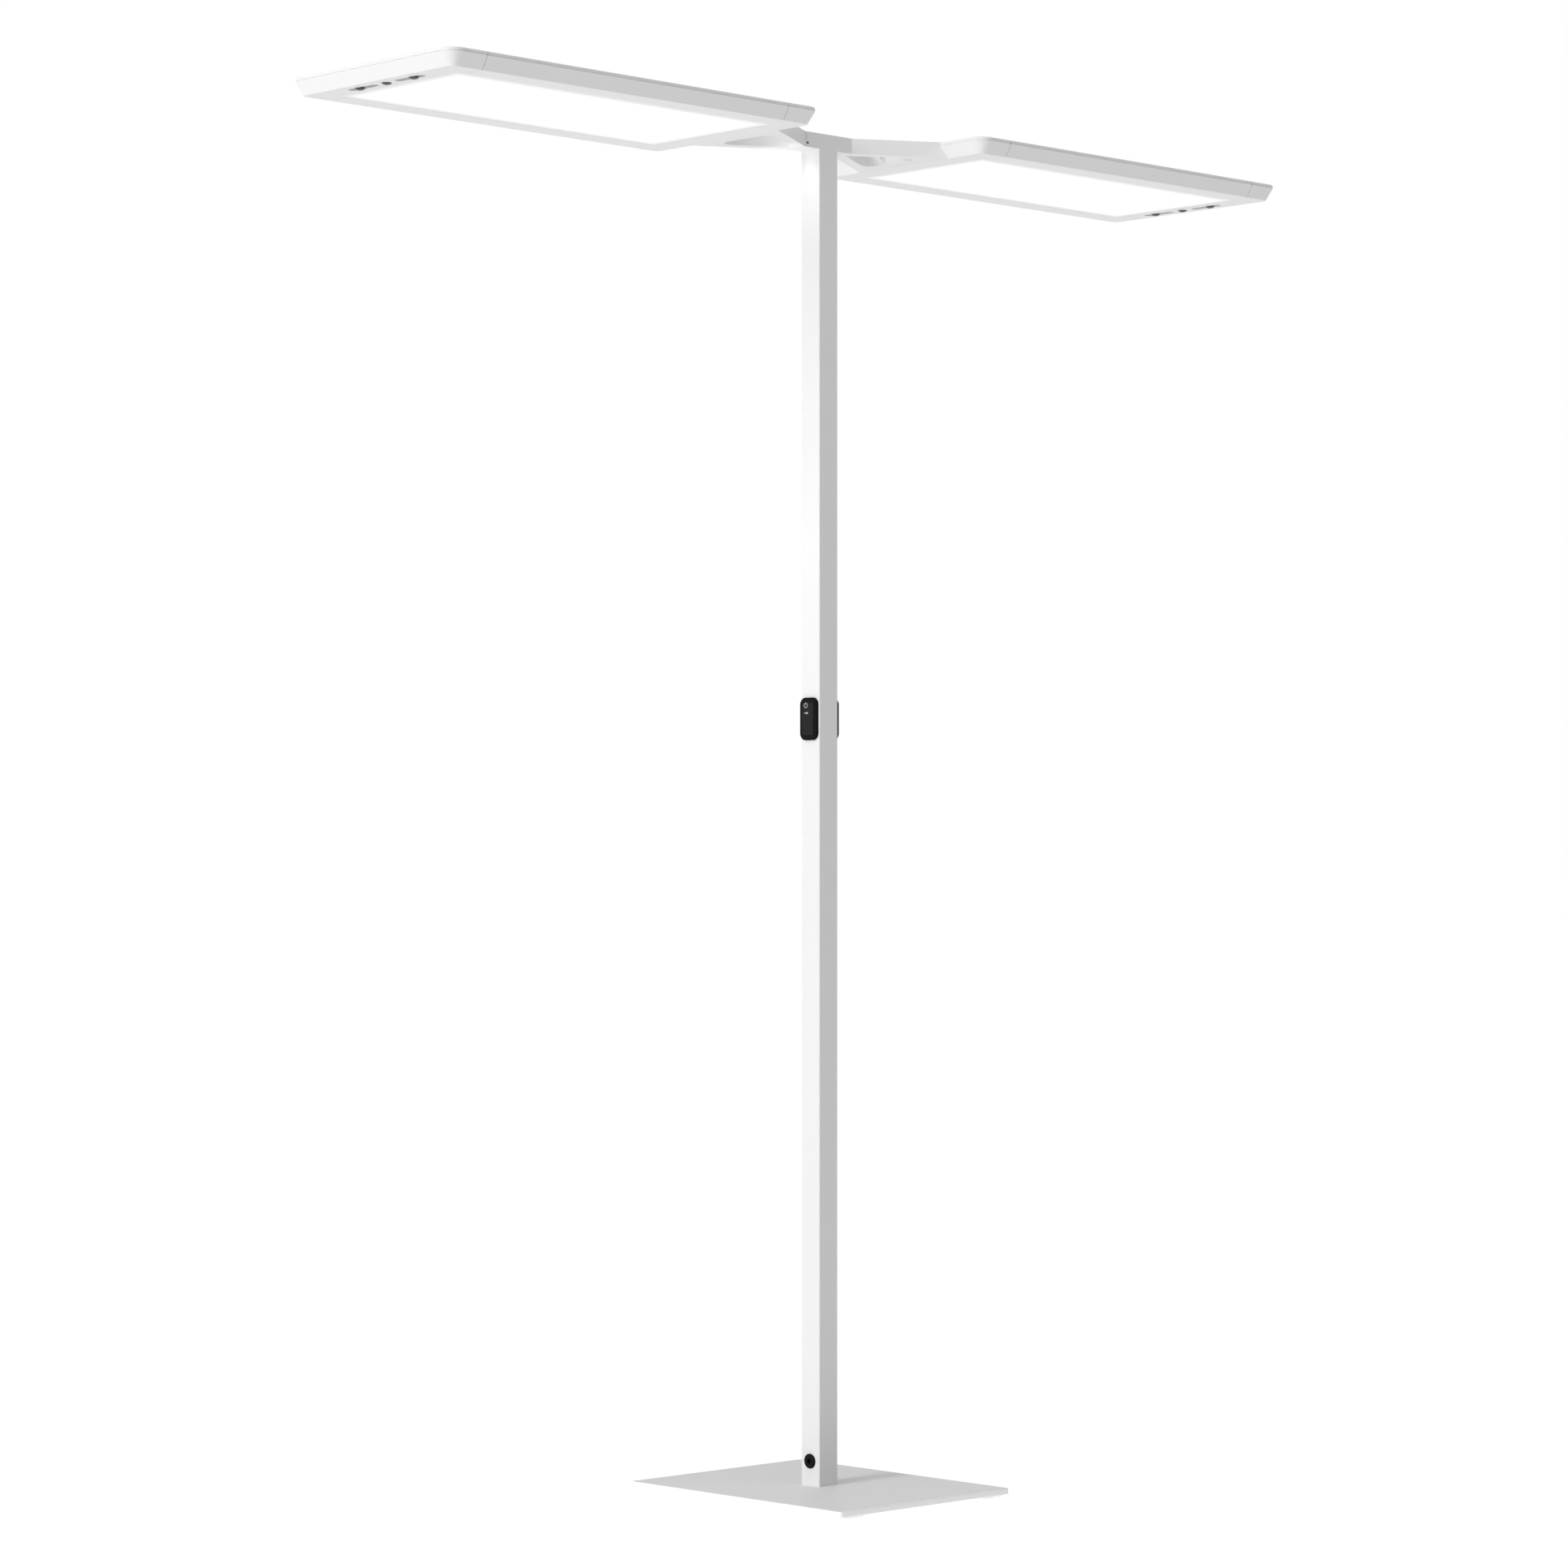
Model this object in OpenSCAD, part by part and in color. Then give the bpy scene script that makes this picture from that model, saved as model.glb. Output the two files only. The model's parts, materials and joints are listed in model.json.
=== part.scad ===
// Office floor lamp: a square extruded post on a flat steel base, a T-shaped hub on its top,
// and two flat rectangular light heads, each carried on an open triangular fork.
// Millimetres. +X runs along the heads, +Y across them, +Z up.
// The origin lies on the floor under the post's axis.

/* [Overall] */
// Height of the top of the heads above the floor
overall_h = 1950; // [1600:10:2150]

/* [Base] */
// Length of the base plate, along the heads
base_l = 340; // [280:5:420]
// Width of the base plate, across the heads
base_w = 430; // [340:5:520]
// Thickness of the steel base plate
base_t = 8; // [7:0.5:14]
// Corner radius of the base plate in plan
base_r = 5; // [2:0.5:12]
// Side of a square foot pad
pad_w = 50; // [36:1:64]
// Height of a foot pad under the plate
pad_h = 3.5; // [2:0.5:8]
// Corner radius of a foot pad in plan
pad_r = 9; // [3:0.5:16]
// Distance from the plate's edge to a foot pad
pad_inset = 4; // [2:0.5:16]
// Diameter of the stud that holds a foot pad in the plate
stud_d = 8; // [5:0.5:12]

/* [Post] */
// Outer side of the square post
post_w = 37; // [36:0.5:44]
// Wall of the post
post_wall = 2; // [1.5:0.1:2.4]
// Radius of the post's outer edges
post_r = 1.5; // [0.5:0.1:3]
// Bore of a screw port in the post's corners
port_d = 4.2; // [3.4:0.1:4.6]
// Distance from the post's axis to a screw port's axis, along X and along Y
port_c = 11.8; // [11.6:0.1:12.2]

/* [Cord gland] */
// Height of the gland's axis above the floor
gland_z = 47; // [36:1:70]
// Diameter of the gland's outer flange
gland_flange_d = 21; // [16:0.5:28]
// Height of the flange in front of the post's face
gland_flange_t = 3; // [1.5:0.5:5]
// Diameter of the gland's neck
gland_neck_d = 10; // [9.4:0.2:11.6]
// Bore of the gland
gland_bore_d = 7.2; // [6:0.2:8]
// Thickness of the lock nut
gland_nut_t = 4; // [3:0.5:5]

/* [Driver] */
// Height of the driver's lower end above the floor
driver_z = 100; // [90:5:200]
// Length of the driver
driver_l = 300; // [200:10:400]
// Height of a driver holder
holder_h = 12; // [8:1:20]
// Diameter of the riser cable
riser_d = 7; // [5:0.5:8]

/* [Controls] */
// Height of the middle of the control units above the floor
control_z = 1112; // [1000:1:1250]
// Width of a control housing
control_w = 34; // [30:0.5:36]
// Height of a control housing
control_h = 61; // [54:1:80]
// Corner radius of a control housing
control_r = 10; // [4:0.5:11]
// How far a control housing stands proud of the post
control_t = 4.7; // [4.2:0.1:7]
// Width of the pressing key
key_w = 23; // [18:0.5:25]
// Height of the pressing key
key_h = 47; // [40:1:48]
// How far the key travels
key_travel = 1; // [0.5:0.1:1.2]

/* [Hub] */
// Length of the hub's straight faces along the heads, bend to bend
hub_l = 94; // [86:1:110]
// Height of the hub and of the forks
hub_t = 22; // [20:0.5:22.5]
// Length of the spigot that goes down into the post
spigot_l = 40; // [20:1:80]
// Width of the shadow gap between the hub and the left fork
reveal = 1.2; // [0.6:0.1:2]

/* [Forks] */
// Width of a fork's arm
arm_w = 18.5; // [17:0.5:22]
// Half width of a fork where it meets its head
fork_half_w = 85; // [76:1:100]
// Thickness of the bar that is bolted to the head
fork_bar = 8; // [6:0.5:12]
// Radius of the opening's corners at the bar
fork_r = 16; // [8:1:20]
// Diameter of the lead that runs along a fork
lead_d = 5; // [4:0.5:5.5]

/* [Heads] */
// Distance from the post's axis to the inner end of a head
head_in = 161; // [150:1:190]
// Length of a head
head_l = 666; // [520:2:760]
// Width of a head
head_w = 336; // [290:2:380]
// Thickness of a head
head_t = 23; // [23:0.5:30]
// Corner radius of a head in plan
head_r = 22; // [14:1:26]
// Height of the upright lip at the top of a head's edge
lip_h = 5; // [4.2:0.1:6]
// Chamfer on the lip's top edge
lip_edge = 0.8; // [0.5:0.1:1.2]
// Height of the shadow groove between the lip and the bevel
groove_h = 1.2; // [0.8:0.1:1.5]
// Depth of the shadow groove
groove_d = 1; // [0.8:0.1:1.2]
// How far the underside is set in from the lip
bevel = 11; // [6:0.5:12]
// Length of an end cap, from the head's end to the seam
cap_l = 63; // [60:1:80]
// Width of the seam between an end cap and a rail
seam_w = 0.6; // [0.3:0.1:0.8]
// Width of the underside's band along the long sides
band_long = 36; // [34:0.5:44]
// Width of the underside's band along the short sides
band_short = 40; // [38:0.5:46]

/* [Head construction] */
// Skin of the extruded rails
rail_skin = 1.8; // [1.4:0.1:2.4]
// Thickness of the flange under the diffuser's edge
flange_t = 1.5; // [1.2:0.1:2]
// Thickness of the top cover
cover_t = 1.5; // [1:0.1:2]
// Width of the rim round the top cover
rim_w = 6; // [4:0.5:8]
// How far the diffuser's edge lies on the flange
overlap = 10; // [6:0.5:12]
// Thickness of the diffuser's edge
diffuser_t = 2; // [1.5:0.1:3]
// Thickness of the light guide
guide_t = 4; // [3:0.5:5]
// Distance between two LED chips on a strip
chip_pitch = 15; // [8:1:30]
// Thickness of the reflector sheet
reflector_t = 0.5; // [0.3:0.1:1]
// Length of the window for the upward light
uplight_l = 420; // [200:10:440]
// Width of the window for the upward light
uplight_w = 190; // [100:5:220]
// Length of a sensor slot in the outer end cap
slot_l = 57; // [30:1:60]
// Width of a sensor slot
slot_w = 12; // [11:0.5:13]
// Distance from the head's centre line to a sensor slot's middle
slot_y = 48.5; // [40:0.5:60]
// Distance from the head's centre line to a slot's sensor
sensor_y = 56; // [50:0.5:60]
// Diameter of a sensor lens
lens_d = 10; // [5:0.5:10]
// Diameter of the round sensor window on the centre line
round_d = 14; // [11:0.5:14]

/* [Hidden] */
$fn = 48;
// how far a cutting solid runs past what it cuts
cut = 1;
// clearance of parts that fit one in the other
fit = 0.2;
// clearance where one part lies on another
seat = 0.3;
// space left free round inner parts
room = 1;
// smallest web of metal beside a cut
web = 2;

// base and post
plate_top = pad_h + base_t;
hub_z = overall_h - hub_t;
head_z = overall_h - head_t;
post_half = post_w / 2;
post_in = post_half - post_wall;
port_wall = 1.6;
port_out = port_d / 2 + port_wall;
lane = port_c - port_out;

// screws of the base and the hub
screw_d = port_d - fit;
screw_head_d = 8;
screw_head_t = 3;
screw_l = 24;
csk_t = 2.5;

// cord gland
gland_neck_l = post_wall + gland_nut_t + room;
gland_nut_af = 2 * (lane - fit) * cos(30);
gland_edge_t = 1;
gland_edge = 1.5;

// driver
driver_top = driver_z + driver_l;
driver_x = 2 * (lane - 2 * fit);
driver_y = 2 * (post_in - 1.5 * room);

// control units
inset_lip = 1.2;
housing_edge_t = 1;
housing_edge = 0.8;
housing_floor = 0.8;
key_gap = 0.5;
key_r = 3;
key_flange = 1.8;
key_flange_t = 1;
key_proud = 0.6;
box_w = 2 * (lane - 2 * fit);
box_h = 44;
box_depth = 8;
box_wall = 1.4;
box_rear_w = box_w - 2 * box_wall;
box_rear_h = box_h - 2 * box_wall;
board_t = 1.6;
board_z = box_wall - box_depth;
stem_d = 5;
stem_l = 3;
switch_w = 6;
plunger_d = 3.4;
plunger_h = 0.5;

// hub
hub_floor = 4;
hub_half = hub_l / 2;
root_inset = 1.4;
root_x = hub_half - root_inset;
chamber_end = 17;
chamber_side = 3.5;
chamber_x = hub_half - chamber_end;
chamber_y = post_half - chamber_side;
hub_cap_t = 1.5;
hub_cap_lip = 2;
hub_cap_r = 2;
tenon_l = root_x - chamber_x - room;
tenon_h = 12;
tenon_w = 25;
lock_d = 4;
lock_sink = 0.8;
lock_x = root_x - lock_d - fit / 2;
lock_z = hub_z + hub_floor + lock_d / 2;
lock_key_d = 2.3;
lock_key_depth = 2;
terminal_x = 20;
terminal_y = 11;
terminal_z = hub_z + hub_floor + screw_head_t + fit;
terminal_top = hub_z + hub_t - hub_cap_t - 1.5 * room;
terminal_foot = 2 * (port_c - screw_head_d / 2 - room / 2);

// forks and their leads
head_half = head_w / 2;
bevel_h = head_t - lip_h;
fork_slope = (fork_half_w - post_half) / (head_in - hub_half);
arm_span = arm_w * sqrt(1 + fork_slope * fork_slope);
fork_bar_x = head_in - fork_bar;
fork_end_x = head_in + bevel;
apex_r = 4;
fork_cover_t = 1.2;
fork_cover_ledge = 3;
fork_cover_w = lead_d + 2 * fork_cover_ledge;
fork_cover_x = root_x + fork_cover_ledge;
bore_gap = 0.7;
way_w = lead_d + 2 * bore_gap;
lead_z = hub_z + hub_floor + tenon_h / 2;
lead_y = 7.8;
lead_bend = 10;
lead_sides = 10;
lead_steps = 5;
lead_straight = 4;
turn_a = [hub_half + lead_straight, lead_y];
turn_b = [fork_bar_x - lead_straight, fork_mid(fork_bar_x - lead_straight)];
bolt_d = 5;
bolt_y = 22;
bolt_head_d = 8.5;
bolt_head_t = 4;
bolt_key_d = 4.6;
bolt_key_depth = 2.4;

// rails
ledge_t = 1.8;
ledge_reach = 6;
ledge_w = rim_w + ledge_reach;
cover_z = head_t - cover_t;
web_inset = 6;
web_e = bevel + band_long - overlap - web_inset;
web_t = 1.6;
web_h = 10;
rail_port_e = 20;
rail_port_z = 8;
rail_port_r = 1.75;
rail_port_out = 3.3;
rib_t = 1.6;

// end caps
stack_l = bevel + band_short - overlap;
stack_e = bevel + band_long - overlap;
pocket_floor = 3;
pocket_a = 14;
pocket_b = stack_l - web;
pocket_e = 16;
seam_depth = 0.8;
tongue_l = 14;
tongue_w = 14;
tongue_e = 12;
tongue_t = 6;
cap_screw_d = 3.4;
cap_head_d = 7;
cap_head_t = 3.5;
cover_screw_u = (pocket_b + cap_l) / 2;
cover_screw_e = 25;
cover_screw_d = 3;
cover_head_d = 6;
cover_head_t = 1.4;
cover_screw_l = 9;

// light stack
strip_t = 1.6;
strip_h = 7;
strip_rise = 0.5;
strip_end = cap_l + 2 * room;
chip_l = 3.6;
chip_h = 3;
chip_t = 0.6;
guide_e = web_e + web_t + strip_t + chip_t + fit;
guide_end = stack_l + 2 * room;
guide_z = flange_t + diffuser_t;
step_t = flange_t - fit;
lens_plate_t = 2.5;
uplight_r = 12;
uplight_edge = 10;

// sensors and junction
sensor_u = bevel + band_short / 2;
slot_recess = 0.6;
sensor_board_w = 170;
junction_size = [18, 30, 14];
junction_gap = 3;

// ---- outlines and small helpers ----

function unit(v) = v / norm(v);

// Points of the arc that rounds the corner p between its neighbours a and b
function corner_arc(a, p, b, r, n) =
    let(
        u = unit(a - p),
        v = unit(b - p),
        half = acos(u * v) / 2,
        c = p + unit(u + v) * r / sin(half),
        s = p + u * r / tan(half) - c,
        e = p + v * r / tan(half) - c,
        start = atan2(s[1], s[0]),
        turn = atan2(s[0] * e[1] - s[1] * e[0], s * e)
    )
    [for (i = [0:n]) c + r * [cos(start + turn * i / n), sin(start + turn * i / n)]];

// A closed outline with each corner rounded by its own radius
function rounded(pts, radii, n = 8) =
    let(k = len(pts))
    [for (i = [0:k - 1]) each corner_arc(pts[(i + k - 1) % k], pts[i], pts[(i + 1) % k], radii[i], n)];

// Lines of a fork: its outer edge, its opening's edge and the middle of its arm
function fork_edge(x) = post_half + fork_slope * (x - hub_half);
function fork_open(x) = fork_edge(x) - arm_span;
function fork_mid(x) = lead_y + fork_slope * (x - hub_half - lead_straight);

module rounded_rect(l, w, r) {
    square([l - 2 * r, w], center = true);
    square([l, w - 2 * r], center = true);
    for (x = [-1, 1], y = [-1, 1]) {
        translate([x * (l / 2 - r), y * (w / 2 - r)]) circle(r);
    }
}

// Mirrors its children to the left (-X) side when s is negative
module on_side(s) {
    if (s > 0) {
        children();
    } else {
        mirror([1, 0, 0]) children();
    }
}

// The four screw ports' places round the post's axis
module at_ports() {
    for (x = [-1, 1], y = [-1, 1]) {
        translate([x * port_c, y * port_c, 0]) children();
    }
}

// A cylinder along +X from x0 to x1
module rod(x0, x1, d) {
    translate([x0, 0, 0]) rotate([0, 90, 0]) cylinder(h = x1 - x0, d = d);
}

// ---- base ----

module at_pads() {
    for (x = [-1, 1], y = [-1, 1]) {
        translate([
            x * (base_l / 2 - pad_inset - pad_w / 2),
            y * (base_w / 2 - pad_inset - pad_w / 2),
            0
        ]) children();
    }
}

module base_plate() {
    color("gainsboro")
    difference() {
        translate([0, 0, pad_h]) linear_extrude(base_t) rounded_rect(base_l, base_w, base_r);
        at_pads() translate([0, 0, pad_h - cut]) cylinder(h = base_t / 2 + cut, d = stud_d + fit);
        at_ports() {
            cylinder(h = plate_top + cut, d = screw_d + 2 * fit);
            translate([0, 0, pad_h - cut]) cylinder(h = cut + fit, d = screw_head_d + 2 * fit);
            translate([0, 0, pad_h + fit])
                cylinder(h = csk_t, d1 = screw_head_d + 2 * fit, d2 = screw_d + 2 * fit);
        }
    }
}

module foot_pads() {
    color("whitesmoke")
    at_pads() {
        linear_extrude(pad_h) rounded_rect(pad_w, pad_w, pad_r);
        cylinder(h = pad_h + base_t / 2 - seat, d = stud_d);
    }
}

module base_screws() {
    color("silver")
    at_ports() translate([0, 0, pad_h + fit]) {
        cylinder(h = csk_t, d1 = screw_head_d, d2 = screw_d);
        translate([0, 0, csk_t / 2]) cylinder(h = screw_l, d = screw_d);
    }
}

// ---- post ----

module port_ring() {
    difference() {
        union() {
            circle(port_out);
            square(post_in - port_c + post_wall / 2);
        }
        circle(d = port_d);
    }
}

// Section of the extrusion: a rounded square with a screw port in each corner
module post_profile() {
    difference() {
        rounded_rect(post_w, post_w, post_r);
        square(2 * post_in, center = true);
    }
    for (a = [0, 90, 180, 270]) {
        rotate(a) translate([port_c, port_c]) port_ring();
    }
}

// Cross-shaped plug that fits the lanes between the post's screw ports
module post_plug(gap) {
    square([2 * (post_in - gap), 2 * (lane - gap)], center = true);
    square([2 * (lane - gap), 2 * (post_in - gap)], center = true);
}

module post_tube() {
    color("white")
    difference() {
        translate([0, 0, plate_top]) linear_extrude(hub_z - plate_top) post_profile();
        translate([0, 0, gland_z]) rod(-post_half - cut, -lane, gland_neck_d + 2 * fit);
        for (s = [-1, 1]) {
            on_side(s) translate([lane, -box_w / 2 - fit, control_z - box_h / 2 - fit])
                cube([post_half, box_w + 2 * fit, box_h + 2 * fit]);
        }
    }
}

// ---- cord gland ----

module cord_gland() {
    color("black")
    translate([-post_half, 0, gland_z]) rotate([0, -90, 0])
    difference() {
        union() {
            cylinder(h = gland_flange_t - gland_edge_t, d = gland_flange_d);
            translate([0, 0, gland_flange_t - gland_edge_t])
                cylinder(h = gland_edge_t, d1 = gland_flange_d, d2 = gland_flange_d - 2 * gland_edge);
            translate([0, 0, -gland_neck_l]) cylinder(h = gland_neck_l, d = gland_neck_d);
        }
        translate([0, 0, -gland_neck_l - cut])
            cylinder(h = gland_neck_l + gland_flange_t + 2 * cut, d = gland_bore_d);
    }
}

module gland_nut() {
    color("dimgray")
    translate([-post_in, 0, gland_z]) rotate([0, 90, 0])
    difference() {
        cylinder(h = gland_nut_t, d = gland_nut_af / cos(30), $fn = 6);
        translate([0, 0, -cut]) cylinder(h = gland_nut_t + 2 * cut, d = gland_neck_d + fit);
    }
}

// ---- driver and riser ----

module driver() {
    color("lightgray")
    translate([-driver_x / 2, -driver_y / 2, driver_z]) cube([driver_x, driver_y, driver_l]);
}

module driver_holders() {
    color("dimgray") {
        translate([0, 0, driver_z - holder_h]) linear_extrude(holder_h) post_plug(fit);
        translate([0, 0, driver_top]) linear_extrude(holder_h) difference() {
            post_plug(fit);
            circle(d = riser_d + 2 * fit);
        }
    }
}

module riser_cable() {
    color("black")
    translate([0, 0, driver_top]) cylinder(h = hub_z + hub_floor - driver_top, d = riser_d);
}

// ---- control units, drawn on the +X face with depth measured outwards from it ----

module on_face(s) {
    on_side(s) translate([post_half, 0, control_z]) rotate([90, 0, 90]) children();
}

// Plan of the key or of what goes round it, larger all round by the given margin
module key_plan(margin) {
    rounded_rect(key_w + 2 * margin, key_h + 2 * margin, key_r + margin);
}

module control_housing(s) {
    cavity_top = control_t - inset_lip;
    color("black")
    on_face(s)
    difference() {
        union() {
            linear_extrude(control_t - housing_edge_t) rounded_rect(control_w, control_h, control_r);
            translate([0, 0, control_t - housing_edge_t]) linear_extrude(housing_edge_t)
                rounded_rect(
                    control_w - 2 * housing_edge, control_h - 2 * housing_edge, control_r - housing_edge
                );
            translate([-box_w / 2, -box_h / 2, -box_depth])
                cube([box_w, box_h, box_depth + housing_floor]);
        }
        // space of the key's flange, and the key's window
        translate([0, 0, housing_floor]) linear_extrude(cavity_top - housing_floor)
            key_plan(key_flange + key_gap);
        translate([0, 0, housing_floor]) linear_extrude(control_t) key_plan(key_gap);
        // space of the board, and the bore of the key's stem
        translate([-box_rear_w / 2, -box_rear_h / 2, board_z])
            cube([box_rear_w, box_rear_h, box_depth - 2 * box_wall]);
        translate([0, 0, -2 * box_wall])
            cylinder(h = 2 * box_wall + housing_floor + cut, d = stem_d + 2 * room);
    }
}

module control_key(s) {
    flange_z = control_t - inset_lip - seat - key_flange_t;
    color("dimgray")
    on_face(s) {
        translate([0, 0, flange_z]) linear_extrude(key_flange_t) key_plan(key_flange);
        translate([0, 0, flange_z]) linear_extrude(control_t + key_proud - flange_z) key_plan(0);
        translate([0, 0, -stem_l]) cylinder(h = stem_l + flange_z + key_flange_t, d = stem_d);
    }
}

module control_board(s) {
    switch_top = -stem_l - key_travel - seat;
    color("green")
    on_face(s) {
        translate([-box_rear_w / 2, -box_rear_h / 2, board_z]) cube([box_rear_w, box_rear_h, board_t]);
        translate([-switch_w / 2, -switch_w / 2, board_z])
            cube([switch_w, switch_w, switch_top - board_z - plunger_h]);
        translate([0, 0, board_z]) cylinder(h = switch_top - board_z, d = plunger_d);
    }
}

// ---- hub ----

module hub() {
    color("lightgray")
    difference() {
        union() {
            translate([-root_x + reveal, -post_half, hub_z]) cube([2 * root_x - reveal, post_w, hub_t]);
            translate([0, 0, hub_z - spigot_l]) linear_extrude(spigot_l + cut) post_plug(fit);
        }
        // wiring chamber and the rebate of its cap
        translate([-chamber_x, -chamber_y, hub_z + hub_floor]) cube([2 * chamber_x, 2 * chamber_y, hub_t]);
        translate([0, 0, overall_h - hub_cap_t]) linear_extrude(hub_cap_t + cut)
            rounded_rect(2 * (chamber_x + hub_cap_lip), 2 * (chamber_y + hub_cap_lip), hub_cap_r);
        // riser bore
        translate([0, 0, hub_z - spigot_l - cut])
            cylinder(h = spigot_l + hub_floor + 2 * cut, d = riser_d + 2 * fit);
        // sockets of the forks' tenons
        translate([-root_x - cut, -tenon_w / 2 - fit, lead_z - tenon_h / 2 - fit])
            cube([2 * root_x + 2 * cut, tenon_w + 2 * fit, tenon_h + 2 * fit]);
        // screws into the post's ports
        at_ports() translate([0, 0, hub_z - cut]) {
            cylinder(h = hub_floor + 2 * cut, d = screw_d + 2 * fit);
            translate([0, 0, hub_floor + cut]) cylinder(h = hub_t, d = screw_head_d + 2 * fit);
        }
        for (s = [-1, 1]) {
            rotate(s > 0 ? 180 : 0) translate([-lock_x, -post_half - cut, lock_z]) rotate([-90, 0, 0])
                cylinder(h = post_half, d = lock_d + fit);
        }
    }
}

module hub_cap() {
    color("white")
    translate([0, 0, overall_h - hub_cap_t]) linear_extrude(hub_cap_t)
        rounded_rect(
            2 * (chamber_x + hub_cap_lip - fit), 2 * (chamber_y + hub_cap_lip - fit), hub_cap_r - fit
        );
}

module hub_screws() {
    color("silver")
    at_ports() translate([0, 0, hub_z + hub_floor]) {
        cylinder(h = screw_head_t, d = screw_head_d);
        translate([0, 0, screw_head_t / 2 - screw_l]) cylinder(h = screw_l, d = screw_d);
    }
}

module hub_terminal() {
    color("ivory") {
        translate([-terminal_foot / 2, -terminal_foot / 2, hub_z + hub_floor])
            cube([terminal_foot, terminal_foot, terminal_top - hub_z - hub_floor]);
        translate([-terminal_x, -terminal_y, terminal_z])
            cube([2 * terminal_x, 2 * terminal_y, terminal_top - terminal_z]);
    }
}

module lock_screws() {
    color("dimgray")
    for (s = [-1, 1]) {
        rotate(s > 0 ? 180 : 0)
        translate([-lock_x, -post_half + lock_sink, lock_z]) rotate([-90, 0, 0])
        difference() {
            cylinder(h = post_half - lock_sink - tenon_w / 2, d = lock_d);
            translate([0, 0, -cut]) cylinder(h = cut + lock_key_depth, d = lock_key_d, $fn = 6);
        }
    }
}

// ---- forks, drawn for the right side ----

// The way of the lead along the fork, at the given width
module lead_way(w, x_start, x_end) {
    run = turn_b - turn_a;
    translate([x_start, turn_a[1] - w / 2]) square([turn_a[0] - x_start, w]);
    translate(turn_a) rotate(atan2(run[1], run[0])) translate([0, -w / 2]) square([norm(run), w]);
    translate([turn_b[0], turn_b[1] - w / 2]) square([x_end - turn_b[0], w]);
    for (p = [turn_a, turn_b]) {
        translate(p) circle(d = w);
    }
}

// Plan of the fork: a trapezoid with a rounded triangular opening
module fork_plan() {
    apex = hub_half - (post_half - arm_span) / fork_slope;
    difference() {
        polygon([
            [root_x, -post_half], [hub_half, -post_half],
            [fork_end_x, -fork_edge(fork_end_x)], [fork_end_x, fork_edge(fork_end_x)],
            [hub_half, post_half], [root_x, post_half]
        ]);
        polygon(rounded(
            [
                [apex, 0], [fork_bar_x, -fork_open(fork_bar_x)],
                [fork_bar_x, fork_open(fork_bar_x)]
            ],
            [apex_r, fork_r, fork_r]
        ));
    }
}

// Everything of the space that the head's inner end takes
module head_end_space() {
    rotate([90, 0, 0]) linear_extrude(head_w, center = true) polygon([
        [head_in, overall_h + cut], [head_in, overall_h - lip_h], [fork_end_x, head_z],
        [fork_end_x + cut, head_z], [fork_end_x + cut, overall_h + cut]
    ]);
}

module fork(s) {
    color("white")
    on_side(s)
    difference() {
        union() {
            translate([0, 0, hub_z]) linear_extrude(hub_t) fork_plan();
            translate([root_x - tenon_l, -tenon_w / 2, lead_z - tenon_h / 2])
                cube([tenon_l + cut, tenon_w, tenon_h]);
        }
        head_end_space();
        // channel of the lead and the rebate of its cover
        translate([0, 0, lead_z - lead_d / 2 - bore_gap]) linear_extrude(hub_t)
            lead_way(way_w, root_x, fork_end_x + cut);
        translate([0, 0, overall_h - fork_cover_t]) linear_extrude(fork_cover_t + cut)
            lead_way(fork_cover_w, fork_cover_x, fork_end_x + cut);
        translate([0, lead_y, lead_z])
            rod(root_x - tenon_l - cut, root_x + cut, way_w);
        for (y = [-bolt_y, bolt_y]) {
            translate([0, y, lead_z]) rod(fork_bar_x - cut, fork_end_x + cut, bolt_d + 2 * fit);
        }
    }
}

module fork_cover(s) {
    color("white")
    on_side(s) translate([0, 0, overall_h - fork_cover_t]) linear_extrude(fork_cover_t)
        lead_way(fork_cover_w - 2 * fit, fork_cover_x + fit, head_in - fit);
}

module fork_bolts(s) {
    color("silver")
    on_side(s)
    for (y = [-bolt_y, bolt_y]) {
        translate([0, y, lead_z])
        difference() {
            union() {
                rod(fork_bar_x - bolt_head_t, fork_bar_x, bolt_head_d);
                rod(fork_bar_x - bolt_head_t / 2, head_in + pocket_a - room, bolt_d);
            }
            translate([fork_bar_x - bolt_head_t - cut, 0, 0]) rotate([0, 90, 0])
                cylinder(h = cut + bolt_key_depth, d = bolt_key_d, $fn = 6);
        }
    }
}

// The lead's centre line in plan, with round bends
lead_path = concat(
    [[terminal_x, lead_y]],
    corner_arc([terminal_x, lead_y], turn_a, turn_b, lead_bend, lead_steps),
    corner_arc(turn_a, turn_b, [head_in, turn_b[1]], lead_bend, lead_steps),
    [[head_in + pocket_a + junction_gap, turn_b[1]]]
);

// Direction of a path at its point i, in degrees
function heading(path, i) =
    let(
        a = path[max(i - 1, 0)],
        b = path[min(i + 1, len(path) - 1)]
    )
    atan2(b[1] - a[1], b[0] - a[0]);

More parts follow.
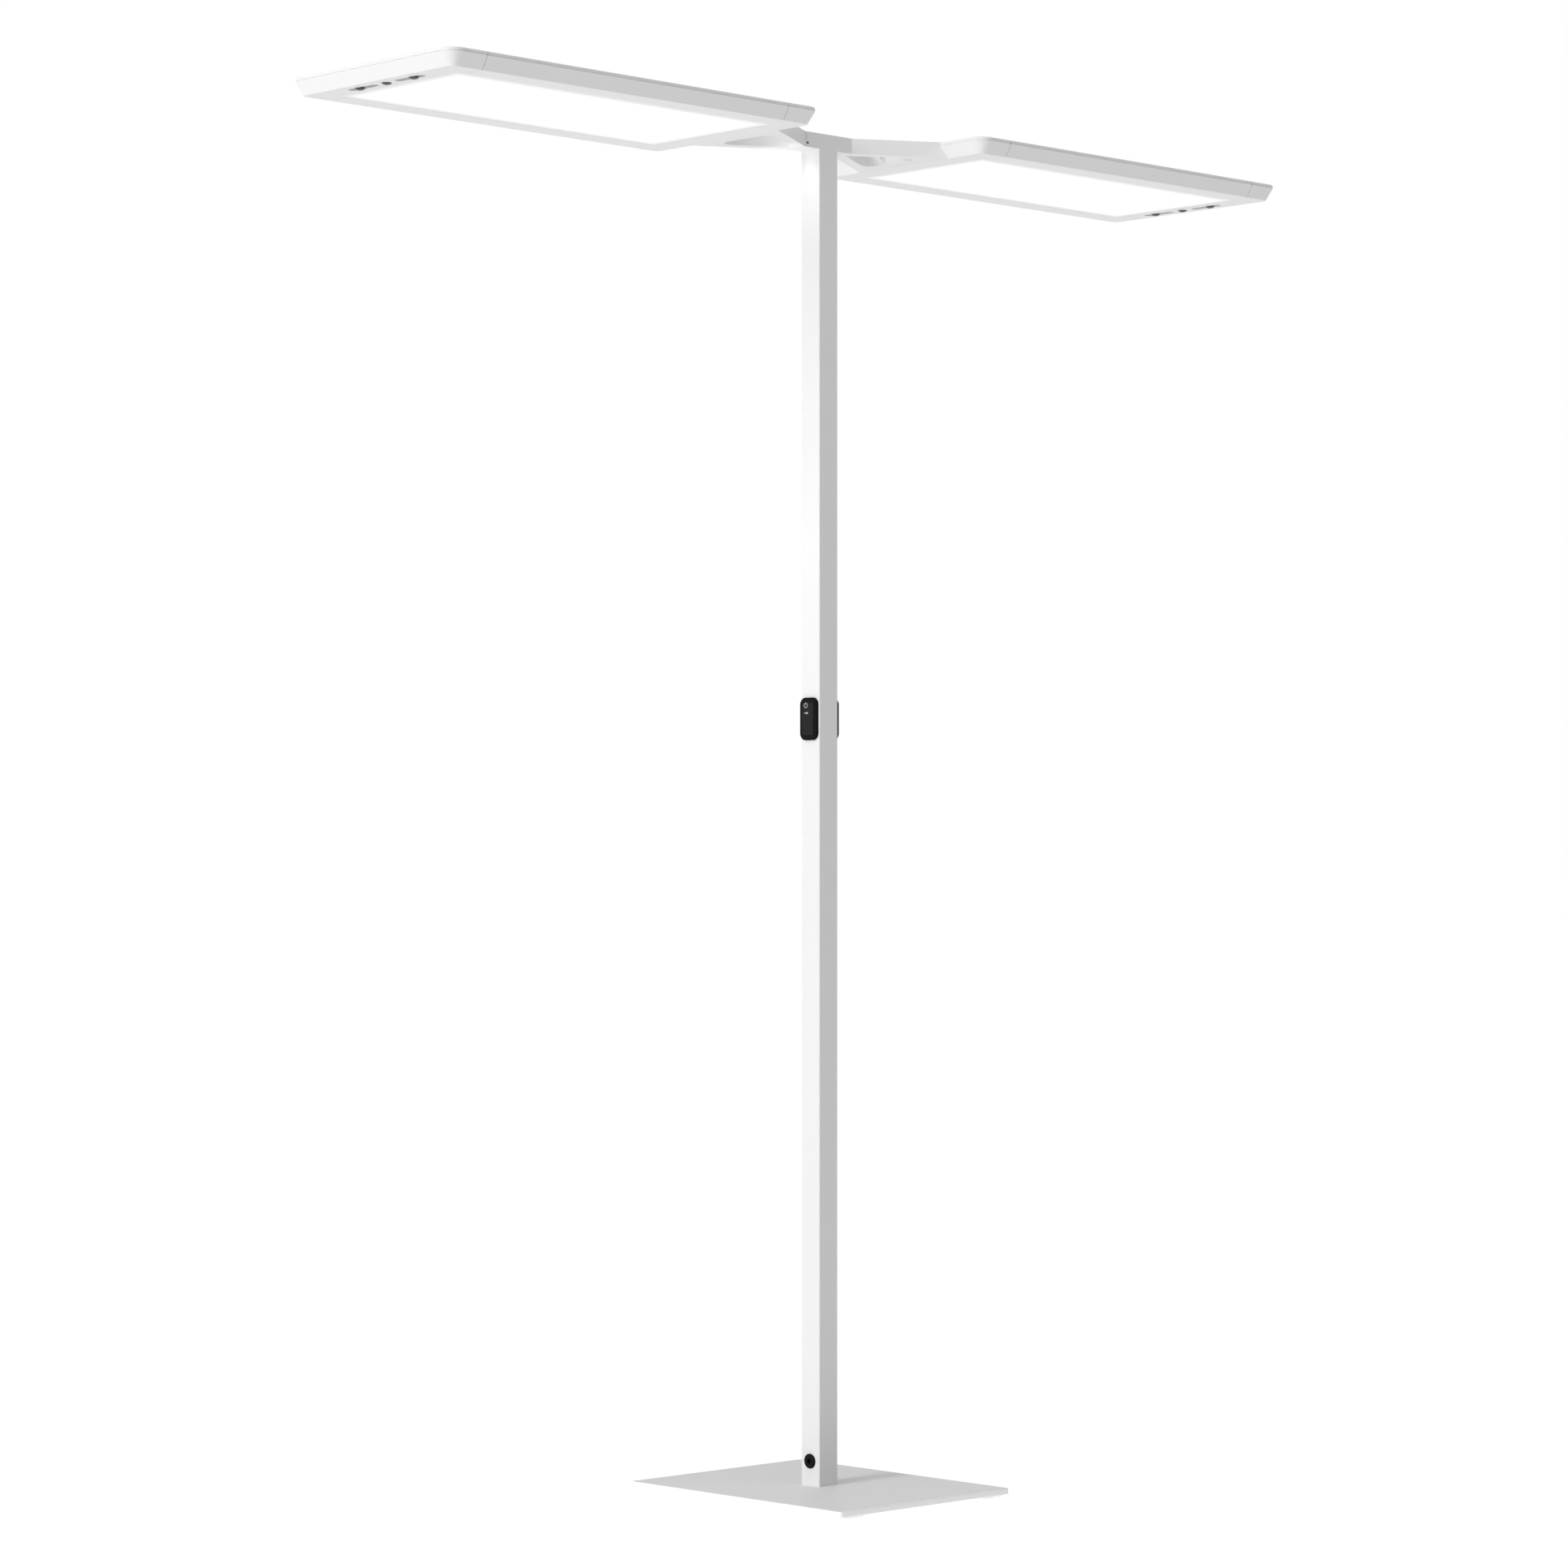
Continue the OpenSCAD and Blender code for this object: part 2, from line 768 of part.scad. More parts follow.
module head_lead(s) {
    last = len(lead_path) - 1;
    points = [
        for (i = [0:last], k = [0:lead_sides - 1])
        let(
            way = heading(lead_path, i),
            side = cos(360 * k / lead_sides) * lead_d / 2,
            rise = sin(360 * k / lead_sides) * lead_d / 2
        )
        [lead_path[i][0] - side * sin(way), lead_path[i][1] + side * cos(way), lead_z + rise]
    ];
    walls = [
        for (i = [0:last - 1], k = [0:lead_sides - 1])
        let(
            a = i * lead_sides + k,
            b = i * lead_sides + (k + 1) % lead_sides
        )
        each [[a, a + lead_sides, b + lead_sides], [a, b + lead_sides, b]]
    ];
    ends = [
        [for (k = [0:lead_sides - 1]) k],
        [for (k = [lead_sides - 1:-1:0]) last * lead_sides + k]
    ];
    color("gray")
    on_side(s) polyhedron(points, concat(walls, ends));
}

// ---- heads, drawn with their inner end at x = 0 and their underside at z = 0 ----

module head(s) {
    on_side(s) translate([head_in, 0, head_z]) children();
}

// Turns the inner end cap's place into the outer one's
module at_far_end() {
    translate([head_l, 0, 0]) mirror([1, 0, 0]) children();
}

module head_outline(edge) {
    translate([head_l / 2, 0]) rounded_rect(head_l - 2 * edge, head_w - 2 * edge, head_r - edge);
}

// A layer of the head's form, whose edge is set in by low at its foot and by high at its top
module head_layer(z, h, low, high) {
    translate([0, 0, z]) {
        for (x = [head_r, head_l - head_r], y = [-1, 1]) {
            translate([x, y * (head_half - head_r), 0])
                cylinder(h = h, r1 = head_r - low, r2 = head_r - high);
        }
        translate([head_r, 0, 0]) rotate([90, 0, 90]) linear_extrude(head_l - 2 * head_r) polygon([
            [low - head_half, 0], [head_half - low, 0], [head_half - high, h], [high - head_half, h]
        ]);
        rotate([90, 0, 0]) linear_extrude(head_w - 2 * head_r, center = true) polygon([
            [low, 0], [head_l - low, 0], [head_l - high, h], [high, h]
        ]);
    }
}

// The head's outer form, set in all round by inset: a bevel, an upright lip and a chamfer
module head_form(inset) {
    head_layer(0, bevel_h, bevel + inset, inset);
    translate([0, 0, bevel_h]) linear_extrude(lip_h - lip_edge) head_outline(inset);
    head_layer(head_t - lip_edge, lip_edge, inset, lip_edge + inset);
}

// Section of a rail: x is the distance from the head's long edge, y the height
module rail_profile() {
    flange_end = bevel + band_long;
    difference() {
        union() {
            polygon([[bevel, 0], [bevel + rail_skin, 0], [rail_skin, bevel_h], [0, bevel_h]]);
            translate([0, bevel_h]) square([rail_skin, lip_h]);
            translate([groove_d, bevel_h - groove_d]) square([rail_skin, cover_z - bevel_h + groove_d]);
            translate([bevel, 0]) square([flange_end - bevel, flange_t]);
            translate([0, cover_z - ledge_t]) square([ledge_w, ledge_t]);
            translate([0, cover_z]) square([rim_w, cover_t]);
            translate([web_e, 0]) square([web_t, web_h]);
            translate([rail_port_e - rib_t / 2, 0]) square([rib_t, rail_port_z]);
            translate([rail_port_e, rail_port_z]) circle(rail_port_out);
        }
        translate([rail_port_e, rail_port_z]) circle(rail_port_r);
        translate([-cut, bevel_h]) square([cut + groove_d, groove_h]);
        polygon([
            [-cut, head_t - lip_edge - cut], [lip_edge + cut, head_t + cut], [-cut, head_t + cut]
        ]);
    }
}

module rail(s, y) {
    color("white")
    head(s)
    translate([cap_l, y * head_half, 0]) mirror([0, y > 0 ? 1 : 0, 0])
    rotate([90, 0, 90]) linear_extrude(head_l - 2 * cap_l) rail_profile();
}

// Places of the end caps' screws, one beside each rail
module at_cap_screws() {
    for (y = [-1, 1]) {
        translate([0, y * (head_half - rail_port_e), rail_port_z]) children();
    }
}

module at_cover_screws() {
    for (y = [-1, 1]) {
        translate([cover_screw_u, y * (head_half - cover_screw_e), 0]) children();
    }
}

// An end cap's solid form, stepped in where it meets the rails so that a seam shows
module cap_blank() {
    intersection() {
        head_form(0);
        translate([0, -head_half, 0]) cube([cap_l - seam_w, head_w, head_t]);
    }
    intersection() {
        head_form(seam_depth);
        translate([0, -head_half, seam_depth]) cube([cap_l, head_w, head_t - 2 * seam_depth]);
    }
}

// What both end caps share: the bevelled shell with its pocket, window edge and tongues
module cap_shell() {
    difference() {
        cap_blank();
        translate([0, 0, bevel_h]) linear_extrude(groove_h) difference() {
            head_outline(-cut);
            head_outline(groove_d);
        }
        translate([0, 0, cover_z]) linear_extrude(cover_t + cut) head_outline(rim_w);
        translate([pocket_a, pocket_e - head_half, pocket_floor])
            cube([pocket_b - pocket_a, head_w - 2 * pocket_e, head_t]);
        translate([stack_l, stack_e - head_half, flange_t])
            cube([cap_l, head_w - 2 * stack_e, head_t]);
        translate([stack_l, guide_e - seat - head_half, guide_z])
            cube([cap_l, head_w - 2 * (guide_e - seat), head_t]);
        translate([bevel + band_short, bevel + band_long - head_half, -cut])
            cube([cap_l, head_w - 2 * (bevel + band_long), head_t]);
        at_cap_screws() rod(pocket_b - cut, cap_l + cut, cap_screw_d + 2 * fit);
        at_cover_screws() translate([0, 0, cover_z - cover_screw_l])
            cylinder(h = cover_screw_l + cut, d = cover_screw_d + fit);
    }
    for (y = [-1, 1]) {
        mirror([0, y > 0 ? 1 : 0, 0])
        translate([cap_l - web, tongue_e - head_half, rail_port_z + rail_port_out + seat])
            cube([tongue_l + web, tongue_w, tongue_t]);
    }
}

module inner_cap(s) {
    color("white")
    head(s)
    difference() {
        cap_shell();
        for (y = [-bolt_y, bolt_y]) {
            translate([0, y, lead_z - head_z]) rod(-cut, pocket_a + cut, bolt_d + fit);
        }
        translate([0, turn_b[1], lead_z - head_z]) rod(-cut, pocket_a + cut, lead_d + 2 * fit);
    }
}

module sensor_slot(gap) {
    l = slot_l - 2 * gap;
    w = slot_w - 2 * gap;
    square([w, l - w], center = true);
    for (y = [-1, 1]) {
        translate([0, y * (l - w) / 2]) circle(d = w);
    }
}

module outer_cap(s) {
    color("white")
    head(s)
    at_far_end()
    difference() {
        cap_shell();
        for (y = [-slot_y, slot_y]) {
            translate([sensor_u, y, -cut]) linear_extrude(pocket_floor + 2 * cut) sensor_slot(0);
        }
        translate([sensor_u, 0, -cut]) cylinder(h = pocket_floor + 2 * cut, d = round_d);
    }
}

module sensor_lenses(s) {
    color("dimgray")
    head(s)
    at_far_end() {
        for (y = [-slot_y, slot_y]) {
            translate([sensor_u, y, slot_recess])
                linear_extrude(pocket_floor - slot_recess) sensor_slot(fit);
        }
        translate([sensor_u, 0, slot_recess])
            cylinder(h = pocket_floor - slot_recess, d = round_d - 2 * fit);
        for (y = [-sensor_y, 0, sensor_y]) {
            translate([sensor_u, y, 0]) cylinder(h = pocket_floor, d = lens_d);
        }
    }
}

module sensor_board(s) {
    color("green")
    head(s)
    at_far_end()
    translate([pocket_a + room, -sensor_board_w / 2, pocket_floor])
        cube([pocket_b - pocket_a - 2 * room, sensor_board_w, board_t]);
}

module top_cover(s) {
    color("white")
    head(s)
    difference() {
        translate([0, 0, cover_z]) linear_extrude(cover_t) difference() {
            head_outline(rim_w + fit);
            translate([head_l / 2, 0]) rounded_rect(uplight_l, uplight_w, uplight_r);
        }
        cover_screw_holes();
        at_far_end() cover_screw_holes();
    }
}

module cover_screw_holes() {
    at_cover_screws() {
        translate([0, 0, cover_z - cut]) cylinder(h = head_t, d = cover_screw_d + 2 * fit);
        translate([0, 0, head_t - cover_head_t])
            cylinder(h = cover_head_t + fit, d1 = cover_screw_d + 2 * fit, d2 = cover_head_d + 2 * fit);
    }
}

module uplight_lens(s) {
    color("aliceblue")
    head(s)
    translate([head_l / 2, 0, cover_z - lens_plate_t]) {
        linear_extrude(lens_plate_t)
            rounded_rect(uplight_l + 2 * uplight_edge, uplight_w + 2 * uplight_edge, uplight_r);
        linear_extrude(lens_plate_t + cover_t)
            rounded_rect(uplight_l - 2 * fit, uplight_w - 2 * fit, uplight_r - fit);
    }
}

// A sheet of the light stack, set in from the head's ends and sides
module stack_sheet(end, side, z, t) {
    translate([end, side - head_half, z]) cube([head_l - 2 * end, head_w - 2 * side, t]);
}

module diffuser(s) {
    color("white")
    head(s) {
        stack_sheet(stack_l + seat, stack_e + seat, flange_t, diffuser_t);
        stack_sheet(
            bevel + band_short + fit, bevel + band_long + fit, flange_t - step_t, step_t + diffuser_t
        );
    }
}

module light_guide(s) {
    color("lightcyan")
    head(s)
    stack_sheet(guide_end, guide_e, guide_z, guide_t);
}

module reflector(s) {
    color("white")
    head(s)
    stack_sheet(guide_end, guide_e, guide_z + guide_t, reflector_t);
}

module led_strips(s) {
    strip_l = head_l - 2 * strip_end;
    chips = floor((strip_l - chip_l) / chip_pitch);
    first = (strip_l - chips * chip_pitch) / 2;
    color("khaki")
    head(s)
    for (y = [-1, 1]) {
        mirror([0, y > 0 ? 1 : 0, 0])
        translate([strip_end, web_e + web_t - head_half, flange_t + strip_rise]) {
            cube([strip_l, strip_t, strip_h]);
            for (i = [0:chips]) {
                translate([first + i * chip_pitch - chip_l / 2, strip_t, (strip_h - chip_h) / 2])
                    cube([chip_l, chip_t, chip_h]);
            }
        }
    }
}

module junction_block(s) {
    color("ivory")
    head(s)
    translate([pocket_a + junction_gap, turn_b[1] - junction_size[1] / 2, pocket_floor])
        cube(junction_size);
}

module cap_screws(s) {
    color("silver")
    head(s) {
        one_cap_screws();
        at_far_end() one_cap_screws();
    }
}

module one_cap_screws() {
    at_cap_screws() {
        rod(pocket_b - cap_head_t, pocket_b, cap_head_d);
        rod(pocket_b - cap_head_t / 2, cap_l + tongue_l, cap_screw_d);
    }
}

module cover_screws(s) {
    color("silver")
    head(s) {
        one_cover_screws();
        at_far_end() one_cover_screws();
    }
}

module one_cover_screws() {
    at_cover_screws() {
        translate([0, 0, head_t - cover_head_t])
            cylinder(h = cover_head_t, d1 = cover_screw_d, d2 = cover_head_d);
        translate([0, 0, cover_z - cover_screw_l + seat])
            cylinder(h = cover_screw_l + cover_t - cover_head_t, d = cover_screw_d);
    }
}

base_plate();
foot_pads();
base_screws();
post_tube();
cord_gland();
gland_nut();
driver();
driver_holders();
riser_cable();
control_housing(-1);  // control_left_housing
control_key(-1);  // control_left_key
control_board(-1);  // control_left_board
control_housing(1);  // control_right_housing
control_key(1);  // control_right_key
control_board(1);  // control_right_board
hub();
hub_cap();
hub_screws();
hub_terminal();
lock_screws();
fork(-1);  // fork_left
fork(1);  // fork_right
fork_cover(-1);  // fork_cover_left
fork_cover(1);  // fork_cover_right
fork_bolts(-1);  // fork_bolts_left
fork_bolts(1);  // fork_bolts_right
head_lead(-1);  // head_lead_left
head_lead(1);  // head_lead_right
rail(-1, -1);  // left_front_rail
rail(-1, 1);  // left_rear_rail
inner_cap(-1);  // left_inner_cap
outer_cap(-1);  // left_outer_cap
top_cover(-1);  // left_top_cover
uplight_lens(-1);  // left_uplight_lens
light_guide(-1);  // left_light_guide
reflector(-1);  // left_reflector
diffuser(-1);  // left_diffuser
led_strips(-1);  // left_led_strips
sensor_lenses(-1);  // left_sensor_lenses
sensor_board(-1);  // left_sensor_board
junction_block(-1);  // left_junction
cap_screws(-1);  // left_cap_screws
cover_screws(-1);  // left_cover_screws
rail(1, -1);  // right_front_rail
rail(1, 1);  // right_rear_rail
inner_cap(1);  // right_inner_cap
outer_cap(1);  // right_outer_cap
top_cover(1);  // right_top_cover
uplight_lens(1);  // right_uplight_lens
light_guide(1);  // right_light_guide
reflector(1);  // right_reflector
diffuser(1);  // right_diffuser
led_strips(1);  // right_led_strips
sensor_lenses(1);  // right_sensor_lenses
sensor_board(1);  // right_sensor_board
junction_block(1);  // right_junction
cap_screws(1);  // right_cap_screws
cover_screws(1);  // right_cover_screws
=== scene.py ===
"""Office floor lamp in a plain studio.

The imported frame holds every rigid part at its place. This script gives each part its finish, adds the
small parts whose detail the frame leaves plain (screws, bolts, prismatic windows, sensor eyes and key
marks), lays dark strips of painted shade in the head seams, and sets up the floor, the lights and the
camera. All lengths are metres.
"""

import json
import logging
import math
from dataclasses import dataclass
from enum import Enum
from typing import Any, Iterable, Sequence

import bmesh
import bpy
from mathutils import Euler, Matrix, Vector

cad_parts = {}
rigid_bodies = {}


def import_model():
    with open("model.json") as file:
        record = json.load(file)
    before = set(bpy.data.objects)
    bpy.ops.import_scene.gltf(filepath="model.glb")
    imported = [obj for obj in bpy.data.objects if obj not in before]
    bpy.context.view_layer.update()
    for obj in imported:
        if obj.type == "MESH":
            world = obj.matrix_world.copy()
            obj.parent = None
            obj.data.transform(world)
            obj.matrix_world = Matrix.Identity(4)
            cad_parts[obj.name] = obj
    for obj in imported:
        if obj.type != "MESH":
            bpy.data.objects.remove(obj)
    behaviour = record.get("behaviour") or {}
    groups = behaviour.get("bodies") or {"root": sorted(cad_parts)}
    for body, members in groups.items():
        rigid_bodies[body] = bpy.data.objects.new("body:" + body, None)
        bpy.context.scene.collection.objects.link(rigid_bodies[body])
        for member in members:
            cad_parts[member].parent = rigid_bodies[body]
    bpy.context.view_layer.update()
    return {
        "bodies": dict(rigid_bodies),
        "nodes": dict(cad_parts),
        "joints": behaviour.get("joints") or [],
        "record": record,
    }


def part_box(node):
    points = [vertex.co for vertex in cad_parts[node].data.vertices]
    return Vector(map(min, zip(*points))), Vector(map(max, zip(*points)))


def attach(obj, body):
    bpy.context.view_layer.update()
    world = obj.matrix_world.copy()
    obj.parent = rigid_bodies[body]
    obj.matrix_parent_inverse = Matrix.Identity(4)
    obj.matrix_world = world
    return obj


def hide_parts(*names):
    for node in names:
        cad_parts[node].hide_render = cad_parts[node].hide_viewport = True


log = logging.getLogger("floor_lamp")

Colour = tuple[float, float, float]
Point = tuple[float, float, float]

MM = 0.001

# Points closer than this are one.
WELD = 1e-6

# The part of its range in which a noise mostly lies.
NOISE_MIDDLE = (0.25, 0.75)

# Radius to the corners of a hexagon one wide across its flats, or of a triangle with sides of one.
CORNER_SHARE = 1 / math.sqrt(3)


class Side(Enum):
    """The two ends of the lamp: left is -X and right is +X."""

    LEFT = "left"
    RIGHT = "right"

    @property
    def sign(self) -> int:
        """Direction of this side along X."""
        return -1 if self is Side.LEFT else 1


# ---------------------------------------------------------------------------------------------------
# Node trees and materials
# ---------------------------------------------------------------------------------------------------


class NodeBuilder:
    """A node tree while it is being built."""

    def __init__(self, tree: bpy.types.NodeTree) -> None:
        """Takes on a tree and empties it.

        Args:
            tree: the tree.
        """
        self.tree = tree
        self.tree.nodes.clear()

    def add(self, kind: str, sockets: dict[str | int, Any] | None = None, **settings: Any) -> bpy.types.Node:
        """Adds a node.

        Args:
            kind: Blender's identifier of the node type, without GeometryNode if it starts with that.
            sockets: values or output sockets for its inputs, by name or place.
            **settings: the node's own properties.

        Returns:
            The new node.
        """
        node = self.tree.nodes.new(kind if kind.startswith("ShaderNode") else "GeometryNode" + kind)
        for key, value in settings.items():
            setattr(node, key, value)
        for key, value in (sockets or {}).items():
            if isinstance(value, bpy.types.NodeSocket):
                self.link(value, node.inputs[key])
            else:
                node.inputs[key].default_value = value
        return node

    def link(self, source: bpy.types.NodeSocket, target: bpy.types.NodeSocket) -> None:
        """Joins an output socket to an input socket."""
        self.tree.links.new(source, target)

    def math(self, operation: str, a: Any, b: Any = 0.0) -> bpy.types.NodeSocket:
        """Result of a math operation on sockets or numbers."""
        return self.add("ShaderNodeMath", {0: a, 1: b}, operation=operation).outputs[0]


class Shader(NodeBuilder):
    """One node material while it is being built."""

    def __init__(self, name: str) -> None:
        """Starts a material with a Principled surface.

        Args:
            name: name of the new material.
        """
        self.material = bpy.data.materials.new(name)
        self.material.use_nodes = True
        super().__init__(self.material.node_tree)
        self.output = self.add("ShaderNodeOutputMaterial")
        self.surface = self.add("ShaderNodeBsdfPrincipled")
        self.link(self.surface.outputs["BSDF"], self.output.inputs["Surface"])
        self.place = self.add("ShaderNodeTexCoord").outputs["Object"]

    def set(self, **values: Any) -> None:
        """Sets constants on the Principled surface, with underscores for the spaces in their names."""
        for key, value in values.items():
            self.surface.inputs[key.replace("_", " ")].default_value = value

    def noise(self, pitch: float, detail: float = 2.0, stretch: Point = (1, 1, 1)) -> bpy.types.NodeSocket:
        """Noise on object coordinates.

        Args:
            pitch: distance between its features, in metres.
            detail: octaves of finer noise.
            stretch: factors on the coordinates. One above 1 packs the features closer along its axis.

        Returns:
            The noise's value, from 0 to 1.
        """
        mapped = self.add("ShaderNodeMapping", {"Vector": self.place, "Scale": stretch})
        sockets = {"Vector": mapped.outputs["Vector"], "Scale": 1 / pitch, "Detail": detail}
        return self.add("ShaderNodeTexNoise", sockets).outputs["Fac"]

    def gloss(self, value: bpy.types.NodeSocket, low: float, high: float) -> None:
        """Lets the roughness run from low to high over the middle half of a noise's range.

        Args:
            value: the noise.
            low: roughness at the low end.
            high: roughness at the high end.
        """
        ends = dict(zip(("From Min", "From Max"), NOISE_MIDDLE))
        sockets = {"Value": value, **ends, "To Min": low, "To Max": high}
        node = self.add("ShaderNodeMapRange", sockets)
        self.link(node.outputs["Result"], self.surface.inputs["Roughness"])

    def shade(self, value: bpy.types.NodeSocket, dark: Colour, light: Colour) -> bpy.types.NodeSocket:
        """Lets the base colour run between two colours over the middle half of a noise's range.

        Args:
            value: the noise.
            dark: colour at the low end.
            light: colour at the high end.

        Returns:
            The colour's socket.
        """
        ramp = self.add("ShaderNodeValToRGB", {"Fac": value})
        for element, position, colour in zip(ramp.color_ramp.elements, NOISE_MIDDLE, (dark, light)):
            element.position = position
            element.color = (*colour, 1)
        self.link(ramp.outputs["Color"], self.surface.inputs["Base Color"])
        return ramp.outputs["Color"]

    def bump(self, height: bpy.types.NodeSocket, depth: float, strength: float) -> None:
        """Gives the surface a relief.

        Args:
            height: the relief's shape, from 0 to 1.
            depth: its depth in metres.
            strength: how strongly it shows.
        """
        sockets = {"Height": height, "Distance": depth, "Strength": strength}
        relief = self.add("ShaderNodeBump", sockets)
        self.link(relief.outputs["Normal"], self.surface.inputs["Normal"])


def tinted(colour: Colour, factor: float) -> Colour:
    """A colour made lighter or darker by a factor."""
    return tuple(min(1.0, c * factor) for c in colour)


# ---------------------------------------------------------------------------------------------------
# Finishes
# ---------------------------------------------------------------------------------------------------


@dataclass(frozen=True)
class Finish:
    """A surface finish, which knows how to build its own material.

    Attributes:
        tints: factors on the colour between which it drifts.
        gloss_drift: lowest and highest difference of the roughness from its value.
        relief_strength: how strongly the relief shows.
    """

    name: str
    colour: Colour
    roughness: float = 0.5
    tints: tuple[float, float] = (0.9, 1.1)
    gloss_drift: tuple[float, float] = (-0.05, 0.05)
    relief_strength: float = 0.5

    def build(self, shader: Shader) -> None:
        """Fills in the shader. Each kind of finish has its own."""
        raise NotImplementedError

    def material(self) -> bpy.types.Material:
        """Builds the finish's material.

        Returns:
            The material.
        """
        shader = Shader(self.name)
        self.build(shader)
        return shader.material

    def shade(self, shader: Shader, value: bpy.types.NodeSocket) -> bpy.types.NodeSocket:
        """Lets the base colour drift between its tints with a value, and returns the colour."""
        return shader.shade(value, *(tinted(self.colour, tint) for tint in self.tints))

    def gloss(self, shader: Shader, value: bpy.types.NodeSocket) -> None:
        """Lets the roughness drift with a value."""
        shader.gloss(value, *(self.roughness + drift for drift in self.gloss_drift))


@dataclass(frozen=True)
class PowderCoat(Finish):
    """Baked powder coat: a fine pebbled skin whose shade and gloss drift a little."""

    tints: tuple[float, float] = (0.985, 1.0)
    gloss_drift: tuple[float, float] = (-0.04, 0.04)
    pebble: float = 1.3 * MM
    relief: float = 0.03 * MM
    cloud: float = 160 * MM
    gloss_cloud: float = 20 * MM

    def build(self, shader: Shader) -> None:
        """Builds the pebbled coat.

        Args:
            shader: the shader to fill in.
        """
        self.shade(shader, shader.noise(self.cloud, detail=3))
        self.gloss(shader, shader.noise(self.gloss_cloud))
        shader.bump(shader.noise(self.pebble, detail=1), self.relief, self.relief_strength)


@dataclass(frozen=True)
class MouldedPlastic(Finish):
    """Injection-moulded plastic with the fine grain of its tool."""

    tints: tuple[float, float] = (0.9, 1.08)
    relief_strength: float = 0.6
    grain: float = 0.5 * MM
    relief: float = 0.02 * MM
    sheen: float = 0.5
    cloud: float = 10 * MM
    gloss_cloud: float = 4 * MM

    def build(self, shader: Shader) -> None:
        """Builds the grained plastic.

        Args:
            shader: the shader to fill in.
        """
        shader.set(Specular_IOR_Level=self.sheen)
        self.shade(shader, shader.noise(self.cloud))
        self.gloss(shader, shader.noise(self.gloss_cloud))
        shader.bump(shader.noise(self.grain, detail=1), self.relief, self.relief_strength)


@dataclass(frozen=True)
class PlatedSteel(Finish):
    """Zinc-plated or blackened steel with turning marks."""

    tints: tuple[float, float] = (0.85, 1.05)
    gloss_drift: tuple[float, float] = (-0.08, 0.1)
    relief_strength: float = 0.4
    cloud: float = 2 * MM
    mark: float = 0.3 * MM
    mark_depth: float = 0.01 * MM
    mark_stretch: Point = (1, 1, 8)

    def build(self, shader: Shader) -> None:
        """Builds the plated metal.

        Args:
            shader: the shader to fill in.
        """
        shader.set(Metallic=1.0)
        self.shade(shader, shader.noise(self.cloud, detail=3))
        marks = shader.noise(self.mark, stretch=self.mark_stretch)
        self.gloss(shader, marks)
        shader.bump(marks, self.mark_depth, self.relief_strength)


@dataclass(frozen=True)
class LitAcrylic(Finish):
    """Opal acrylic with the light on behind it, dimmer towards the sheet's edges.

    Attributes:
        middle: distance of the sheet's middle from the post's axis.
        fade: width of the rim in which the light rises to its full strength.
    """

    tints: tuple[float, float] = (0.985, 1.0)
    relief_strength: float = 0.3
    glow: float = 3.0
    middle: float = 0.494
    half_length: float = 0.282
    half_width: float = 0.121
    fade: float = 70 * MM
    cloud: float = 50 * MM
    ripple: float = 0.8 * MM
    ripple_depth: float = 0.01 * MM

    def build(self, shader: Shader) -> None:
        """Builds the lit sheet: an even glow that falls off at the edges, and a trace of cloudiness.

        Args:
            shader: the shader to fill in.
        """
        shader.set(Emission_Strength=self.glow, Roughness=self.roughness)
        shade = self.shade(shader, shader.noise(self.cloud))
        lit = shader.add("ShaderNodeVectorMath", {0: shade}, operation="SCALE")
        shader.link(self.light(shader), lit.inputs["Scale"])
        shader.link(lit.outputs["Vector"], shader.surface.inputs["Emission Color"])
        shader.bump(shader.noise(self.ripple, detail=0), self.ripple_depth, self.relief_strength)

    def light(self, shader: Shader) -> bpy.types.NodeSocket:
        """Share of the light, from 0 at the nearest edge of the sheet to 1 in its field.

        Args:
            shader: the shader that the nodes go into.

        Returns:
            The share's socket.
        """
        axes = shader.add("ShaderNodeSeparateXYZ", {"Vector": shader.place}).outputs
        along = shader.math("ABSOLUTE", axes["X"])
        along = shader.math("ABSOLUTE", shader.math("SUBTRACT", along, self.middle))
        along = shader.math("SUBTRACT", self.half_length, along)
        across = shader.math("SUBTRACT", self.half_width, shader.math("ABSOLUTE", axes["Y"]))
        inset = shader.math("MINIMUM", along, across)
        sockets = {"Value": inset, "From Max": self.fade}
        rise = shader.add("ShaderNodeMapRange", sockets, interpolation_type="SMOOTHERSTEP")
        return rise.outputs["Result"]


@dataclass(frozen=True)
class ClearAcrylic(Finish):
    """Clear acrylic sheet with a field of fine dots that let the light out."""

    clarity: float = 0.9
    refraction: float = 1.49
    dot_pitch: float = 2.5 * MM
    dot_roughness: float = 0.5
    dot_colour: Colour = (0.97, 0.97, 0.97)

    def build(self, shader: Shader) -> None:
        """Builds the clear sheet with its dots.

        Args:
            shader: the shader to fill in.
        """
        shader.set(Transmission_Weight=self.clarity, IOR=self.refraction)
        sockets = {"Vector": shader.place, "Scale": 1 / self.dot_pitch, "Randomness": 0.0}
        dots = shader.add("ShaderNodeTexVoronoi", sockets, voronoi_dimensions="2D")
        shader.gloss(dots.outputs["Distance"], self.dot_roughness, self.roughness)
        shader.shade(dots.outputs["Distance"], self.dot_colour, self.colour)


